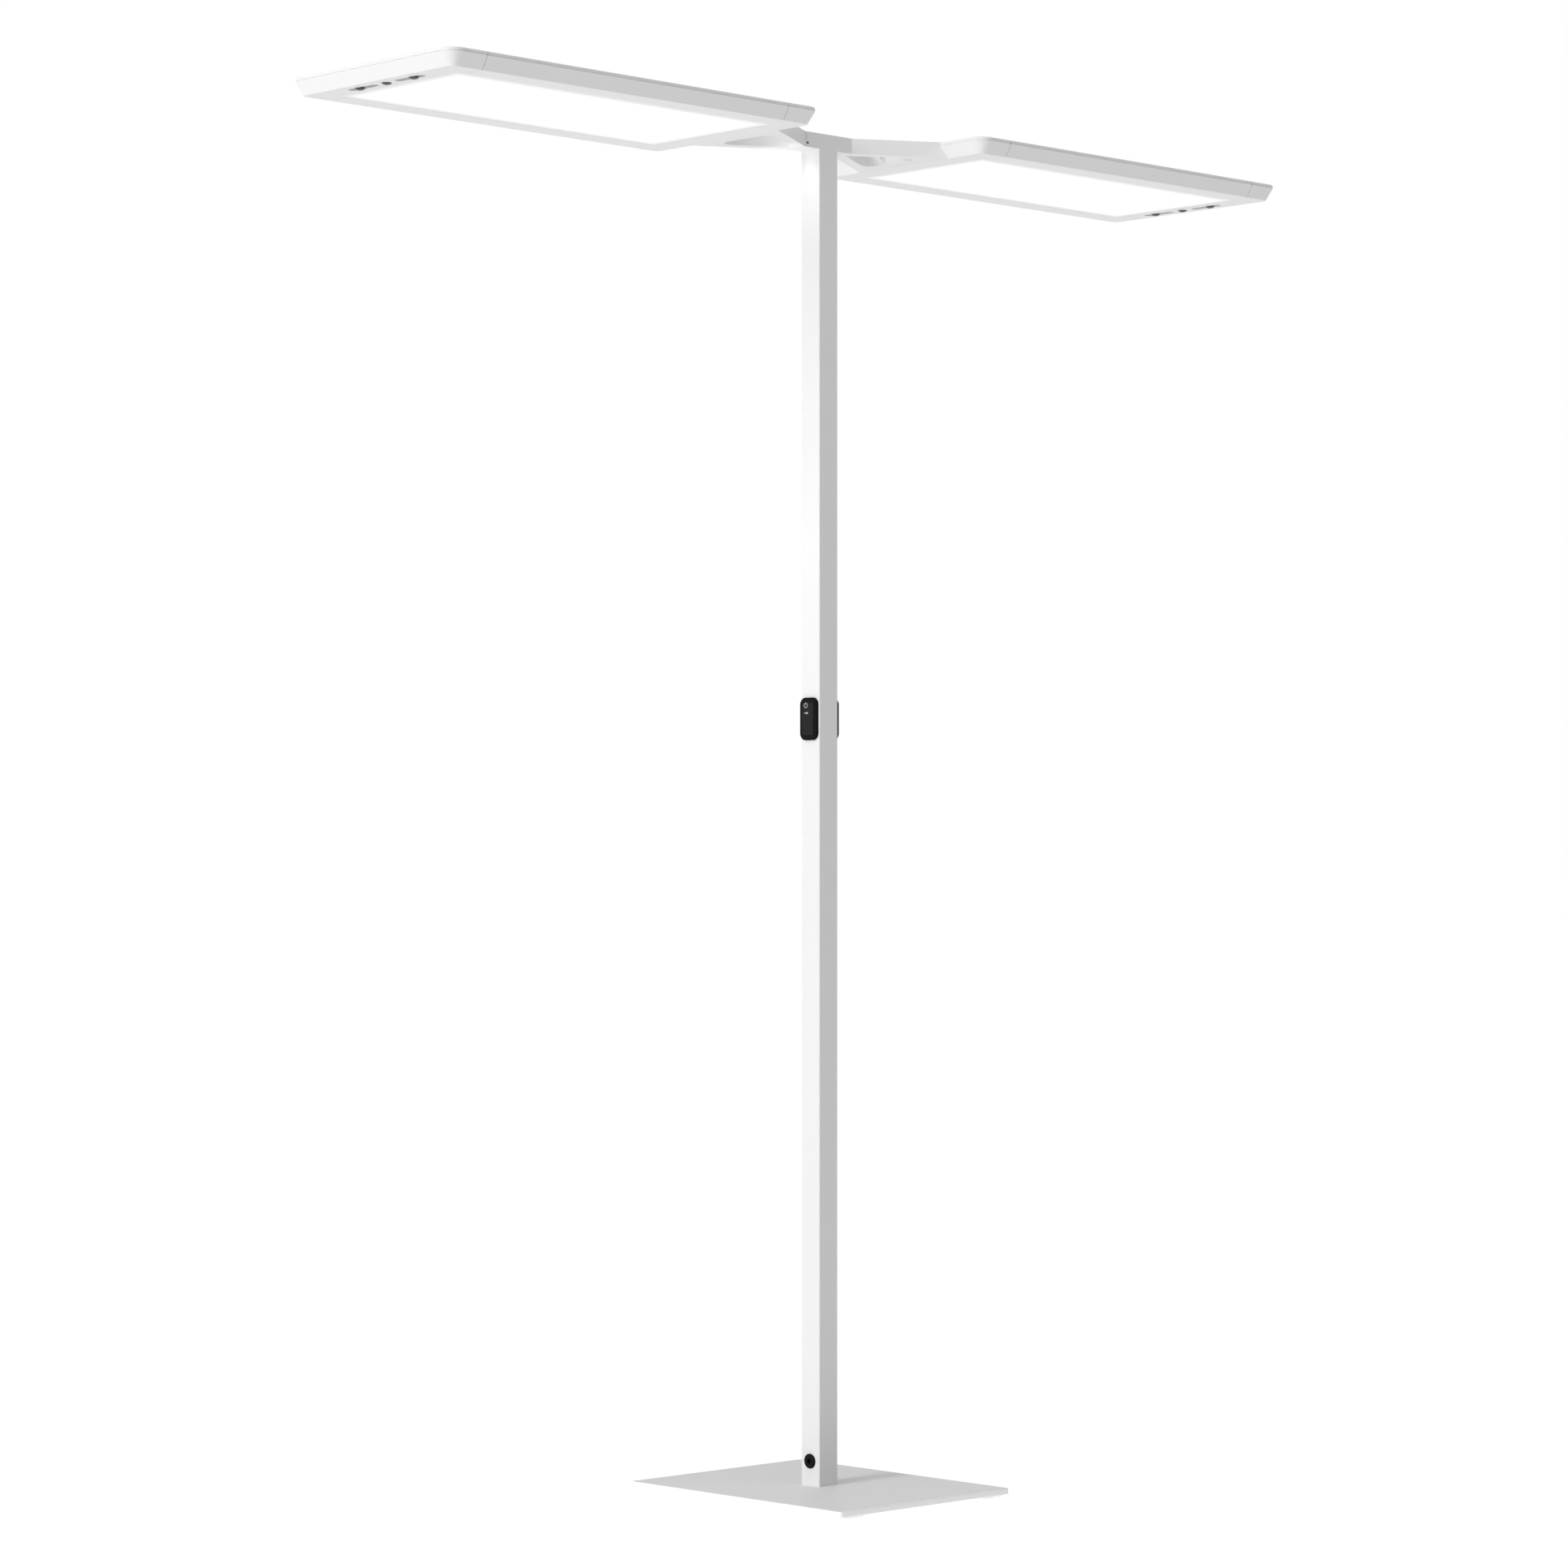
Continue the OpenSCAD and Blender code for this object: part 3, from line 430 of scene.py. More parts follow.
@dataclass(frozen=True)
class SmokedWindow(Finish):
    """Tinted polycarbonate that hides a sensor, glossy on its face."""

    tints: tuple[float, float] = (0.85, 1.1)
    gloss_drift: tuple[float, float] = (-0.03, 0.03)
    lacquer: float = 0.3
    lacquer_roughness: float = 0.08
    cloud: float = 12 * MM
    gloss_cloud: float = 3 * MM

    def build(self, shader: Shader) -> None:
        """Builds the tinted window.

        Args:
            shader: the shader to fill in.
        """
        shader.set(Coat_Weight=self.lacquer, Coat_Roughness=self.lacquer_roughness)
        self.shade(shader, shader.noise(self.cloud))
        self.gloss(shader, shader.noise(self.gloss_cloud))


@dataclass(frozen=True)
class CircuitBoard(Finish):
    """Green solder mask over copper tracks."""

    tints: tuple[float, float] = (1.5, 1.0)
    track: float = 3.0 * MM
    track_scatter: float = 0.6
    track_depth: float = 0.03 * MM

    def build(self, shader: Shader) -> None:
        """Builds the board with a lattice of tracks under the mask.

        Args:
            shader: the shader to fill in.
        """
        sockets = {"Vector": shader.place, "Scale": 1 / self.track, "Randomness": self.track_scatter}
        cells = shader.add("ShaderNodeTexVoronoi", sockets, distance="CHEBYCHEV")
        self.shade(shader, cells.outputs["Distance"])
        shader.bump(cells.outputs["Distance"], self.track_depth, self.relief_strength)
        shader.set(Roughness=self.roughness)


@dataclass(frozen=True)
class CableJacket(Finish):
    """Smooth extruded cable jacket with faint ripples round it."""

    relief_strength: float = 0.4
    cloud: float = 20 * MM
    ripple: float = 1.5 * MM
    ripple_depth: float = 0.02 * MM
    ripple_stretch: Point = (1, 1, 4)

    def build(self, shader: Shader) -> None:
        """Builds the jacket.

        Args:
            shader: the shader to fill in.
        """
        self.shade(shader, shader.noise(self.cloud))
        ripples = shader.noise(self.ripple, stretch=self.ripple_stretch)
        shader.bump(ripples, self.ripple_depth, self.relief_strength)
        shader.set(Roughness=self.roughness)


WHITE_COAT: Colour = (0.86, 0.86, 0.86)

FINISHES: dict[str, Finish] = {
    "base_steel": PowderCoat("Base_coat", (0.82, 0.82, 0.82), 0.55, pebble=0.9 * MM, relief=0.05 * MM),
    "pad_plastic": MouldedPlastic("Pad_plastic", (0.88, 0.88, 0.87), 0.5),
    "screw_steel": PlatedSteel("Zinc_plate", (0.62, 0.62, 0.63), 0.32),
    "post_aluminium": PowderCoat("Post_coat", WHITE_COAT, 0.42),
    "bolt_white": PowderCoat("Bolt_coat", WHITE_COAT, 0.4, pebble=0.8 * MM),
    "gland_black": MouldedPlastic("Gland_nylon", (0.004, 0.004, 0.004), 0.5, sheen=0.12),
    "nut_black": MouldedPlastic("Nut_nylon", (0.04, 0.04, 0.04), 0.5),
    "driver_case": MouldedPlastic("Driver_case", (0.78, 0.78, 0.76), 0.45),
    "holder_plastic": MouldedPlastic("Holder_plastic", (0.12, 0.12, 0.12), 0.5),
    "cable_jacket": CableJacket("Cable_jacket", (0.08, 0.08, 0.08), 0.4),
    "control_black": MouldedPlastic("Control_plastic", (0.003, 0.003, 0.003), 0.5, sheen=0.1),
    "key_black": MouldedPlastic("Key_plastic", (0.010, 0.010, 0.010), 0.45, grain=0.35 * MM, sheen=0.15),
    "circuit_board": CircuitBoard("Circuit_board", (0.03, 0.16, 0.07), 0.35),
    "cast_aluminium": PowderCoat("Casting_coat", WHITE_COAT, 0.46, pebble=1.6 * MM),
    "terminal_plastic": MouldedPlastic("Terminal_plastic", (0.80, 0.77, 0.66), 0.45),
    "lock_screw_dark": PlatedSteel("Blackened_steel", (0.10, 0.045, 0.040), 0.45),
    "rail_aluminium": PowderCoat("Rail_coat", WHITE_COAT, 0.42),
    "cap_aluminium": PowderCoat("Cap_coat", WHITE_COAT, 0.44, pebble=1.5 * MM),
    "cover_sheet": PowderCoat("Cover_coat", WHITE_COAT, 0.48),
    "opal_panel": LitAcrylic("Opal_acrylic", (0.97, 0.97, 0.97), 0.35),
    "light_guide_acrylic": ClearAcrylic("Guide_acrylic", (0.95, 0.98, 0.99), 0.06),
    "reflector_white": MouldedPlastic("Reflector_film", (0.90, 0.90, 0.90), 0.6),
    "sensor_smoke": SmokedWindow("Sensor_window", (0.13, 0.13, 0.13), 0.3),
}
EYE_FINISH = SmokedWindow("Sensor_eye", (0.035, 0.035, 0.035), 0.2)
WINDOW_FINISH = LitAcrylic(
    "Window_acrylic", (0.75, 0.75, 0.75), 0.3, glow=0.42, half_length=0.21, half_width=0.095, fade=12 * MM
)
# Dark grey for the strips in the heads' seams: painted shade, standing for the shadow in the narrow gaps.
SEAM_SHADE_FINISH = MouldedPlastic("Seam_painted_shade", (0.16, 0.16, 0.16), 0.6)
MARK_FINISH = MouldedPlastic("Printed_mark", (0.42, 0.42, 0.42), 0.5)


class Palette:
    """Makes each finish's material once and dresses the parts with it."""

    def __init__(self, frame: dict[str, Any]) -> None:
        """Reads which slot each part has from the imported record.
        """
        self.nodes: dict[str, bpy.types.Object] = frame["nodes"]
        self.slots = {part["node"]: part["material_slot"] for part in frame["record"]["subparts"]}
        self.made: dict[str, bpy.types.Material] = {}

    def material(self, finish: Finish) -> bpy.types.Material:
        """The material of a finish, built on first use."""
        if finish.name not in self.made:
            self.made[finish.name] = finish.material()
        return self.made[finish.name]

    def dress(self, names: Iterable[str]) -> None:
        """Gives parts of the frame the finish of their slots.

        Args:
            names: the parts' names.
        """
        for name in names:
            slot = self.slots[name]
            mesh = self.nodes[name].data
            mesh.materials.clear()
            mesh.materials.append(self.material(FINISHES[slot]))
            log.info("part %s: %s", name, slot)


# ---------------------------------------------------------------------------------------------------
# Making pieces
# ---------------------------------------------------------------------------------------------------


class GeometryTree(NodeBuilder):
    """One Geometry Nodes tree while it is being built."""

    def __init__(self, name: str, sizes: dict[str, float | Sequence[float]]) -> None:
        """Starts a tree with a named input for each size.

        Args:
            name: name of the tree.
            sizes: the inputs' names and the values that the modifier gives them.
        """
        super().__init__(bpy.data.node_groups.new(name, "GeometryNodeTree"))
        face = self.tree.interface
        face.new_socket("Geometry", in_out="INPUT", socket_type="NodeSocketGeometry")
        face.new_socket("Geometry", in_out="OUTPUT", socket_type="NodeSocketGeometry")
        self.values: dict[str, Any] = {}
        for label, value in sizes.items():
            socket = face.new_socket(label, in_out="INPUT", socket_type=self.socket_type(value))
            self.values[socket.identifier] = value
        self.start = self.tree.nodes.new("NodeGroupInput")
        self.end = self.tree.nodes.new("NodeGroupOutput")

    @staticmethod
    def socket_type(value: Any) -> str:
        """The kind of socket that holds a value."""
        if isinstance(value, int):
            return "NodeSocketInt"
        return "NodeSocketFloat" if isinstance(value, float) else "NodeSocketVector"

    def size(self, label: str) -> bpy.types.NodeSocket:
        """The output socket of a named input."""
        return self.start.outputs[label]

    def scaled(self, label: str, factor: float) -> bpy.types.NodeSocket:
        """A named input times a factor."""
        return self.math("MULTIPLY", self.size(label), factor)

    def vector(self, x: Any = 0.0, y: Any = 0.0, z: Any = 0.0) -> bpy.types.NodeSocket:
        """A vector from three sockets or numbers."""
        return self.add("ShaderNodeCombineXYZ", {"X": x, "Y": y, "Z": z}).outputs[0]

    def moved(self, mesh: bpy.types.NodeSocket, **change: Any) -> bpy.types.NodeSocket:
        """A geometry moved, turned or scaled by Translation, Rotation or Scale."""
        return self.add("Transform", {"Geometry": mesh, **change}).outputs[0]

    def cylinder(self, sides: int, radius: Any, depth: Any) -> bpy.types.NodeSocket:
        """A closed cylinder or prism about Z, with its middle at the origin."""
        sockets = {"Vertices": sides, "Radius": radius, "Depth": depth}
        return self.add("MeshCylinder", sockets, fill_type="NGON").outputs["Mesh"]

    def joined(self, *parts: bpy.types.NodeSocket) -> bpy.types.NodeSocket:
        """Several geometries as one.

        Args:
            *parts: the geometries.

        Returns:
            The joined geometry.
        """
        node = self.add("JoinGeometry")
        for part in parts:
            self.link(part, node.inputs[0])
        return node.outputs[0]

    def prism(self, outline: bpy.types.NodeSocket, height: Any) -> bpy.types.NodeSocket:
        """A closed solid from a flat closed curve.

        Args:
            outline: the curve, at z = 0.
            height: how far it is raised.

        Returns:
            The solid.
        """
        flat = self.add("FillCurve", {0: outline}).outputs[0]
        up = self.vector(z=height)
        raised = self.add("ExtrudeMesh", {"Mesh": flat, "Offset": up, "Individual": False}).outputs[0]
        under = self.add("FlipFaces", {0: flat}).outputs[0]
        return self.add("MergeByDistance", {0: self.joined(raised, under), "Distance": WELD}).outputs[0]

    def piece(
        self, name: str, solid: bpy.types.NodeSocket, points: Sequence[Point],
        material: bpy.types.Material, turn: Any = (0, 0, 0),
    ) -> bpy.types.Object:
        """Ends the tree, puts its solid on points and keeps the result as a plain mesh.

        Args:
            name: name of the finished piece.
            solid: the geometry that the tree makes.
            points: where the solid is put.
            material: the material of the result.
            turn: rotation of the solid at each point.

        Returns:
            The finished piece, at the origin, with no modifier.
        """
        placed = self.add("InstanceOnPoints", {
            "Points": self.start.outputs["Geometry"], "Instance": solid, "Rotation": turn,
        }).outputs["Instances"]
        real = self.add("RealizeInstances", {0: placed}).outputs[0]
        coated = self.add("SetMaterial", {"Geometry": real, "Material": material}).outputs[0]
        self.link(coated, self.end.inputs[0])
        mesh = bpy.data.meshes.new(name + "_points")
        mesh.from_pydata([tuple(p) for p in points], [], [])
        carrier = bpy.data.objects.new(name + "_points", mesh)
        bpy.context.scene.collection.objects.link(carrier)
        modifier = carrier.modifiers.new("build", "NODES")
        modifier.node_group = self.tree
        for identifier, value in self.values.items():
            modifier[identifier] = value
        graph = bpy.context.evaluated_depsgraph_get()
        made = bpy.data.meshes.new_from_object(carrier.evaluated_get(graph))
        made.name = name
        carrier.modifiers.remove(modifier)
        bpy.data.objects.remove(carrier)
        bpy.data.meshes.remove(mesh)
        bpy.data.node_groups.remove(self.tree)
        return link_piece(name, made)


class Lofts:
    """Closed solids, each drawn through rings of points, gathered in one mesh."""

    def __init__(self) -> None:
        """Starts with an empty mesh."""
        self.build = bmesh.new()

    def add(self, rings: Sequence[Sequence[Point]]) -> None:
        """Adds one solid.

        Args:
            rings: its sections in a row, each with the same number of points, in the same order.
        """
        rows = [[self.build.verts.new(point) for point in ring] for ring in rings]
        self.build.faces.new(rows[0])
        self.build.faces.new(rows[-1])
        for row, following in zip(rows, rows[1:]):
            for i in range(len(row)):
                j = (i + 1) % len(row)
                self.build.faces.new((row[i], row[j], following[j], following[i]))

    def piece(self, name: str, material: bpy.types.Material) -> bpy.types.Object:
        """Ends the mesh, with its faces outwards.

        Args:
            name: name of the finished piece.
            material: its material.

        Returns:
            The finished piece.
        """
        bmesh.ops.recalc_face_normals(self.build, faces=self.build.faces)
        mesh = bpy.data.meshes.new(name)
        self.build.to_mesh(mesh)
        self.build.free()
        mesh.materials.append(material)
        return link_piece(name, mesh)


def link_piece(name: str, mesh: bpy.types.Mesh) -> bpy.types.Object:
    """Puts a mesh in the scene as a named piece at the origin.

    Args:
        name: name of the piece.
        mesh: its mesh, in place.

    Returns:
        The piece.
    """
    piece = bpy.data.objects.new(name, mesh)
    bpy.context.scene.collection.objects.link(piece)
    return piece


def seat_piece(piece: bpy.types.Object, body: str, slot: str, *replaced: str) -> None:
    """Lets a piece ride on its body and hides the nodes of the frame that it stands for.

    Args:
        piece: the finished piece.
        body: the body that carries it.
        slot: the record's material slot; not used.
        *replaced: nodes of the frame that the piece stands for.
    """
    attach(piece, body)
    if replaced:
        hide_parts(*replaced)
    log.info("piece %s: %d faces, rides on %s", piece.name, len(piece.data.polygons), body)


def box_corners(node: str, inset: float, top: bool) -> list[Point]:
    """The corners of one face of a node's box, set in from its edges.

    Args:
        node: the node.
        inset: how far each point is set in along X and along Y.
        top: True for the box's top face and False for its bottom face.

    Returns:
        The four points.
    """
    low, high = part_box(node)
    level = high.z if top else low.z
    return [
        (x, y, level)
        for x in (low.x + inset, high.x - inset)
        for y in (low.y + inset, high.y - inset)
    ]


@dataclass(frozen=True)
class Screw:
    """Sizes of a screw with a hexagon socket. Its head's top face is at the point it is put at."""

    head_top: float
    head_foot: float
    head_height: float
    shank: float
    length: float
    key: float
    key_depth: float
    segments: int = 40

    def set_in(
        self, name: str, points: Sequence[Point], turn: Point, material: bpy.types.Material
    ) -> bpy.types.Object:
        """Makes a group of these screws as one piece.

        Args:
            name: name of the piece.
            points: middle of each head's top face.
            turn: rotation from a head that faces +Z, in radians.
            material: the material of the screws.

        Returns:
            The piece, with one solid for each screw.
        """
        sizes: dict[str, Any] = {
            "Head top diameter": self.head_top,
            "Head foot diameter": self.head_foot,
            "Head height": self.head_height,
            "Shank diameter": self.shank,
            "Length": self.length,
            "Key width": self.key,
            "Key depth": self.key_depth,
            "Turn": turn,
        }
        tree = GeometryTree("Screw", sizes)
        head = tree.add("MeshCone", {
            "Vertices": self.segments,
            "Radius Bottom": tree.scaled("Head foot diameter", 0.5),
            "Radius Top": tree.scaled("Head top diameter", 0.5),
            "Depth": tree.size("Head height"),
        }, fill_type="NGON").outputs["Mesh"]
        head = tree.moved(head, Translation=tree.vector(z=tree.scaled("Head height", -1.0)))
        shank = tree.cylinder(self.segments, tree.scaled("Shank diameter", 0.5), tree.size("Length"))
        sunk = tree.math("SUBTRACT", tree.scaled("Length", -0.5), tree.scaled("Head height", 0.5))
        shank = tree.moved(shank, Translation=tree.vector(z=sunk))
        socket = tree.cylinder(6, tree.scaled("Key width", CORNER_SHARE), tree.scaled("Key depth", 2.0))
        whole = tree.add("MeshBoolean", {"Mesh 2": head}, operation="UNION", solver="EXACT")
        tree.link(shank, whole.inputs["Mesh 2"])
        keyed = tree.add("MeshBoolean", {
            "Mesh 1": whole.outputs["Mesh"], "Mesh 2": socket,
        }, operation="DIFFERENCE", solver="EXACT").outputs["Mesh"]
        return tree.piece(name, keyed, points, material, tree.size("Turn"))


# ---------------------------------------------------------------------------------------------------
# The stand: base, post, gland and driver
# ---------------------------------------------------------------------------------------------------


@dataclass
class Stand:
    """Base plate with its pads, the post, the cord gland and the driver inside."""

    palette: Palette
    base_screw: Screw = Screw(
        head_top=8 * MM, head_foot=4 * MM, head_height=2.5 * MM, shank=4 * MM, length=24 * MM,
        key=2.5 * MM, key_depth=1.6 * MM,
    )
    parts: tuple[str, ...] = (
        "base_plate", "foot_pads", "post_tube", "cord_gland", "gland_nut",
        "driver", "driver_holders", "riser_cable",
    )

    def build(self) -> None:
        """Dresses the stand and sets its screws."""
        self.palette.dress(self.parts)
        self.set_base_screws()

    def set_base_screws(self) -> None:
        """Sets the four countersunk screws under the base plate, at the corners of their node's box."""
        points = box_corners("base_screws", self.base_screw.head_top / 2, top=False)
        material = self.palette.material(FINISHES["screw_steel"])
        screws = self.base_screw.set_in("base_screw_set", points, (math.pi, 0, 0), material)
        seat_piece(screws, "stand", "screw_steel", "base_screws")


# ---------------------------------------------------------------------------------------------------
# The control units
# ---------------------------------------------------------------------------------------------------


@dataclass
class ControlUnit:
    """One control unit on the post: housing, board and pressing key with its printed marks."""

    palette: Palette
    side: Side
    mark_height: float = 0.06 * MM
    ring_radius: float = 3.4 * MM
    stroke: float = 1.1 * MM
    ring_gap: float = math.radians(70)
    ring_steps: int = 28
    bar_length: float = 4.2 * MM
    wedge_length: float = 8.5 * MM
    wedge_height: float = 3.6 * MM
    ring_drop: float = 5.8 * MM
    wedge_drop: float = 17.0 * MM
    mark_shift: float = 4.0 * MM

    def build(self) -> None:
        """Dresses the unit and prints its key."""
        name = "control_" + self.side.value
        self.palette.dress([name + "_housing", name + "_key", name + "_board"])
        self.print_marks(name + "_key")

    def ring(self) -> list[list[Point]]:
        """An open ring round the origin, with its gap at the top.

        Returns:
            Its sections along the ring, as (across, up, out) points.
        """
        start = math.pi / 2 + self.ring_gap / 2
        sweep = 2 * math.pi - self.ring_gap
        inner, outer = self.ring_radius - self.stroke / 2, self.ring_radius + self.stroke / 2
        section = ((outer, 0.0), (inner, 0.0), (inner, self.mark_height), (outer, self.mark_height))
        angles = [start + sweep * i / self.ring_steps for i in range(self.ring_steps + 1)]
        return [[(r * math.cos(a), r * math.sin(a), out) for r, out in section] for a in angles]

    def bar_and_wedge(self) -> list[list[list[Point]]]:
        """A bar in the ring's gap, and a wedge below.

        Returns:
            Each mark's lower and upper outline, as (across, up, out) points.
        """
        bar = self.stroke / 2
        top = self.ring_radius + self.stroke
        low = self.ring_drop - self.wedge_drop
        half = self.wedge_length / 2
        outlines = [
            [(-bar, top - self.bar_length), (bar, top - self.bar_length), (bar, top), (-bar, top)],
            [(-half, low), (half, low - self.wedge_height / 2), (half, low + self.wedge_height / 2)],
        ]
        return [
            [[(u, v, out) for u, v in outline] for out in (0.0, self.mark_height)]
            for outline in outlines
        ]

    def print_marks(self, key: str) -> None:
        """Lays the marks on the key's face as a thin layer of ink.

        Args:
            key: name of the key's node.
        """
        low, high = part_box(key)
        face = high.x if self.side is Side.RIGHT else low.x
        middle = (low.y + high.y) / 2 - self.side.sign * self.mark_shift
        height = high.z - self.ring_drop
        ink = Lofts()
        for mark in (self.ring(), *self.bar_and_wedge()):
            ink.add([
                [(face + self.side.sign * out, middle + self.side.sign * u, height + v) for u, v, out in ring]
                for ring in mark
            ])
        marks = ink.piece(self.side.value + "_key_marks", self.palette.material(MARK_FINISH))
        seat_piece(marks, self.side.value + "_key", "key_black")


# ---------------------------------------------------------------------------------------------------
# The hub and the forks
# ---------------------------------------------------------------------------------------------------


@dataclass
class HubAndForks:
    """The hub on the post, and the two forks with their covers, leads and bolts."""

    palette: Palette
    bolt: Screw = Screw(
        head_top=8.5 * MM, head_foot=8.5 * MM, head_height=4 * MM, shank=5 * MM, length=19 * MM,
        key=4 * MM, key_depth=2.4 * MM,
    )
    parts: tuple[str, ...] = ("hub", "hub_cap", "hub_screws", "hub_terminal", "lock_screws")
    fork_parts: tuple[str, ...] = ("fork", "fork_cover", "head_lead")

    def build(self) -> None:
        """Dresses the hub and the forks and sets the forks' bolts."""
        self.palette.dress(self.parts)
        for side in Side:
            self.palette.dress(part + "_" + side.value for part in self.fork_parts)
            self.set_bolts(side)

    def set_bolts(self, side: Side) -> None:
        """Sets the two cap screws that hold one head on its fork.

        Args:
            side: the head's side.
        """
        node = "fork_bolts_" + side.value
        low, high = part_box(node)
        radius = self.bolt.head_top / 2
        head_x = low.x if side is Side.RIGHT else high.x
        points = [(head_x, y, (low.z + high.z) / 2) for y in (low.y + radius, high.y - radius)]
        material = self.palette.material(FINISHES["bolt_white"])
        turn = (0, -side.sign * math.pi / 2, 0)
        bolts = self.bolt.set_in(side.value + "_bolt_set", points, turn, material)
        seat_piece(bolts, "stand", "bolt_white", node)


# ---------------------------------------------------------------------------------------------------
# The light heads
# ---------------------------------------------------------------------------------------------------


@dataclass
class LightHead:
    """One head: rails, caps, cover, light stack, prismatic window, sensors and screws."""

    palette: Palette
    side: Side
    cover_screw: Screw = Screw(
        head_top=6 * MM, head_foot=3 * MM, head_height=1.4 * MM, shank=3 * MM, length=9 * MM,
        key=2 * MM, key_depth=0.9 * MM,
    )
    window_flange: float = 10 * MM
    window_fit: float = 0.2 * MM
    window_corner: float = 12 * MM
    corner_steps: int = 8
    flange_height: float = 2.5 * MM
    rib_pitch: float = 2.5 * MM
    rib_height: float = 0.9 * MM
    rib_border: float = 9 * MM
    eye_diameter: float = 13.6 * MM
    eye_rise: float = 3.0 * MM
    eye_spacing: float = 56 * MM
    eye_subdivisions: int = 3
    lip_height: float = 5 * MM
    lip_edge: float = 0.8 * MM
    bevel_width: float = 11 * MM
    seam_width: float = 0.6 * MM
    # Where the dark strips of painted seam shade sit within the seam's width and below the head's surface.
    seam_shade_shares: tuple[float, float] = (0.1, 0.9)
    seam_shade_insets: tuple[float, float] = (0.25 * MM, 0.75 * MM)
    parts: tuple[str, ...] = (
        "front_rail", "rear_rail", "inner_cap", "outer_cap", "top_cover", "light_guide", "reflector",
        "diffuser", "led_strips", "sensor_lenses", "sensor_board", "junction", "cap_screws",
    )

    def name(self, part: str) -> str:
        """Full name of one of this head's parts."""
        return self.side.value + "_" + part

    def build(self) -> None:
        """Dresses the head and adds its detailed pieces."""
        self.palette.dress(self.name(part) for part in self.parts)
        self.set_cover_screws()
        self.set_window()
        self.set_eyes()
        self.set_seam_shade()

    def set_cover_screws(self) -> None:
        """Sets the four countersunk screws of the top cover."""
        node = self.name("cover_screws")
        points = box_corners(node, self.cover_screw.head_top / 2, top=True)
        material = self.palette.material(FINISHES["screw_steel"])
        screws = self.cover_screw.set_in(self.name("cover_screw_set"), points, (0, 0, 0), material)
        seat_piece(screws, "stand", "screw_steel", node)

    def set_window(self) -> None:
        """Makes the window for the upward light: a flanged plate whose face is a field of fine ribs."""
        node = self.name("uplight_lens")
        low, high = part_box(node)
        length, width = high.x - low.x, high.y - low.y
        flange = self.window_flange + self.window_fit
        sizes: dict[str, Any] = {
            "Flange length": length,
            "Flange width": width,
            "Flange height": self.flange_height,
            "Plate length": length - 2 * flange,
            "Plate width": width - 2 * flange,
            "Plate height": high.z - low.z - self.rib_height,
            "Corner radius": self.window_corner,
            "Rib length": length - 2 * (flange + self.rib_border),
            "Rib pitch": self.rib_pitch,
            "Rib height": self.rib_height,
        }
        tree = GeometryTree("Prismatic_window", sizes)
        solids = []
        for part in ("Flange", "Plate"):
            quad = tree.add("CurvePrimitiveQuadrilateral", {
                "Width": tree.size(part + " length"), "Height": tree.size(part + " width"),
            }).outputs[0]
            outline = tree.add("FilletCurve", {
                "Curve": quad, "Radius": tree.size("Corner radius"), "Count": self.corner_steps,
            }, mode="POLY").outputs[0]
            solids.append(tree.prism(outline, tree.size(part + " height")))
        count = int((width - 2 * (flange + self.rib_border)) / self.rib_pitch)
        solids.append(self.ribs(tree, count))
        centre = Vector(((low.x + high.x) / 2, (low.y + high.y) / 2, low.z))
        material = self.palette.material(WINDOW_FINISH)
        window = tree.piece(self.name("uplight_window"), tree.joined(*solids), [centre], material)
        seat_piece(window, "stand", "opal_panel", node)

    def ribs(self, tree: GeometryTree, count: int) -> bpy.types.NodeSocket:
        """The field of three-sided ribs along X that stands on the plate.

        Args:
            tree: the window's tree.
            count: number of ribs across the plate.

        Returns:
            The ribs as instances.
        """
        first = tree.scaled("Rib pitch", (1 - count) / 2)
        rows = tree.add("MeshLine", {
            "Count": count,
            "Start Location": tree.vector(y=first, z=tree.size("Plate height")),
            "Offset": tree.vector(y=tree.size("Rib pitch")),
        }, mode="OFFSET").outputs[0]
        corner = tree.scaled("Rib pitch", CORNER_SHARE)
        bar = tree.cylinder(3, corner, tree.size("Rib length"))
        lying = tree.moved(bar, Rotation=(0, -math.pi / 2, 0))
        seated = tree.moved(lying, Translation=tree.vector(z=tree.math("MULTIPLY", corner, 0.5)))
        full = tree.math("MULTIPLY", corner, 1.5)
        squat = tree.math("DIVIDE", tree.size("Rib height"), full)
        low = tree.moved(seated, Scale=tree.vector(1.0, 1.0, squat))
        return tree.add("InstanceOnPoints", {"Points": rows, "Instance": low}).outputs["Instances"]

    def set_eyes(self) -> None:
        """Sets a shallow faceted dome over each of the three sensors in the outer cap's underside."""
        low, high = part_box(self.name("sensor_lenses"))
        middle = (low + high) / 2
        points = [(middle.x, middle.y + i * self.eye_spacing, low.z) for i in (-1, 0, 1)]
        tree = GeometryTree("Sensor_eye", {"Diameter": self.eye_diameter, "Rise": self.eye_rise})
        radius = tree.scaled("Diameter", 0.5)
        ball = tree.add("MeshIcoSphere", {
            "Radius": radius, "Subdivisions": self.eye_subdivisions,
        }).outputs["Mesh"]
        share = tree.math("DIVIDE", tree.size("Rise"), radius)
        dome = tree.moved(ball, Scale=tree.vector(1.0, 1.0, share))
        material = self.palette.material(EYE_FINISH)
        eyes = tree.piece(self.name("sensor_eyes"), dome, points, material)
        seat_piece(eyes, "stand", "sensor_smoke")

    def set_seam_shade(self) -> None:
        """Lays thin dark strips in the seams between the rails and the end caps: painted shade where the
        seams are dark from their depth.
        """
        low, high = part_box(self.name("rear_rail"))
        shade_strips = Lofts()
        for end, out in ((low.x, -1), (high.x, 1)):
            faces = [end + out * share * self.seam_width for share in self.seam_shade_shares]
            for flip in (-1, 1):
                shade_strips.add(self.shade_strip(faces, flip))
        piece = shade_strips.piece(self.name("seam_gaskets"), self.palette.material(SEAM_SHADE_FINISH))
        seat_piece(piece, "stand", "holder_plastic")

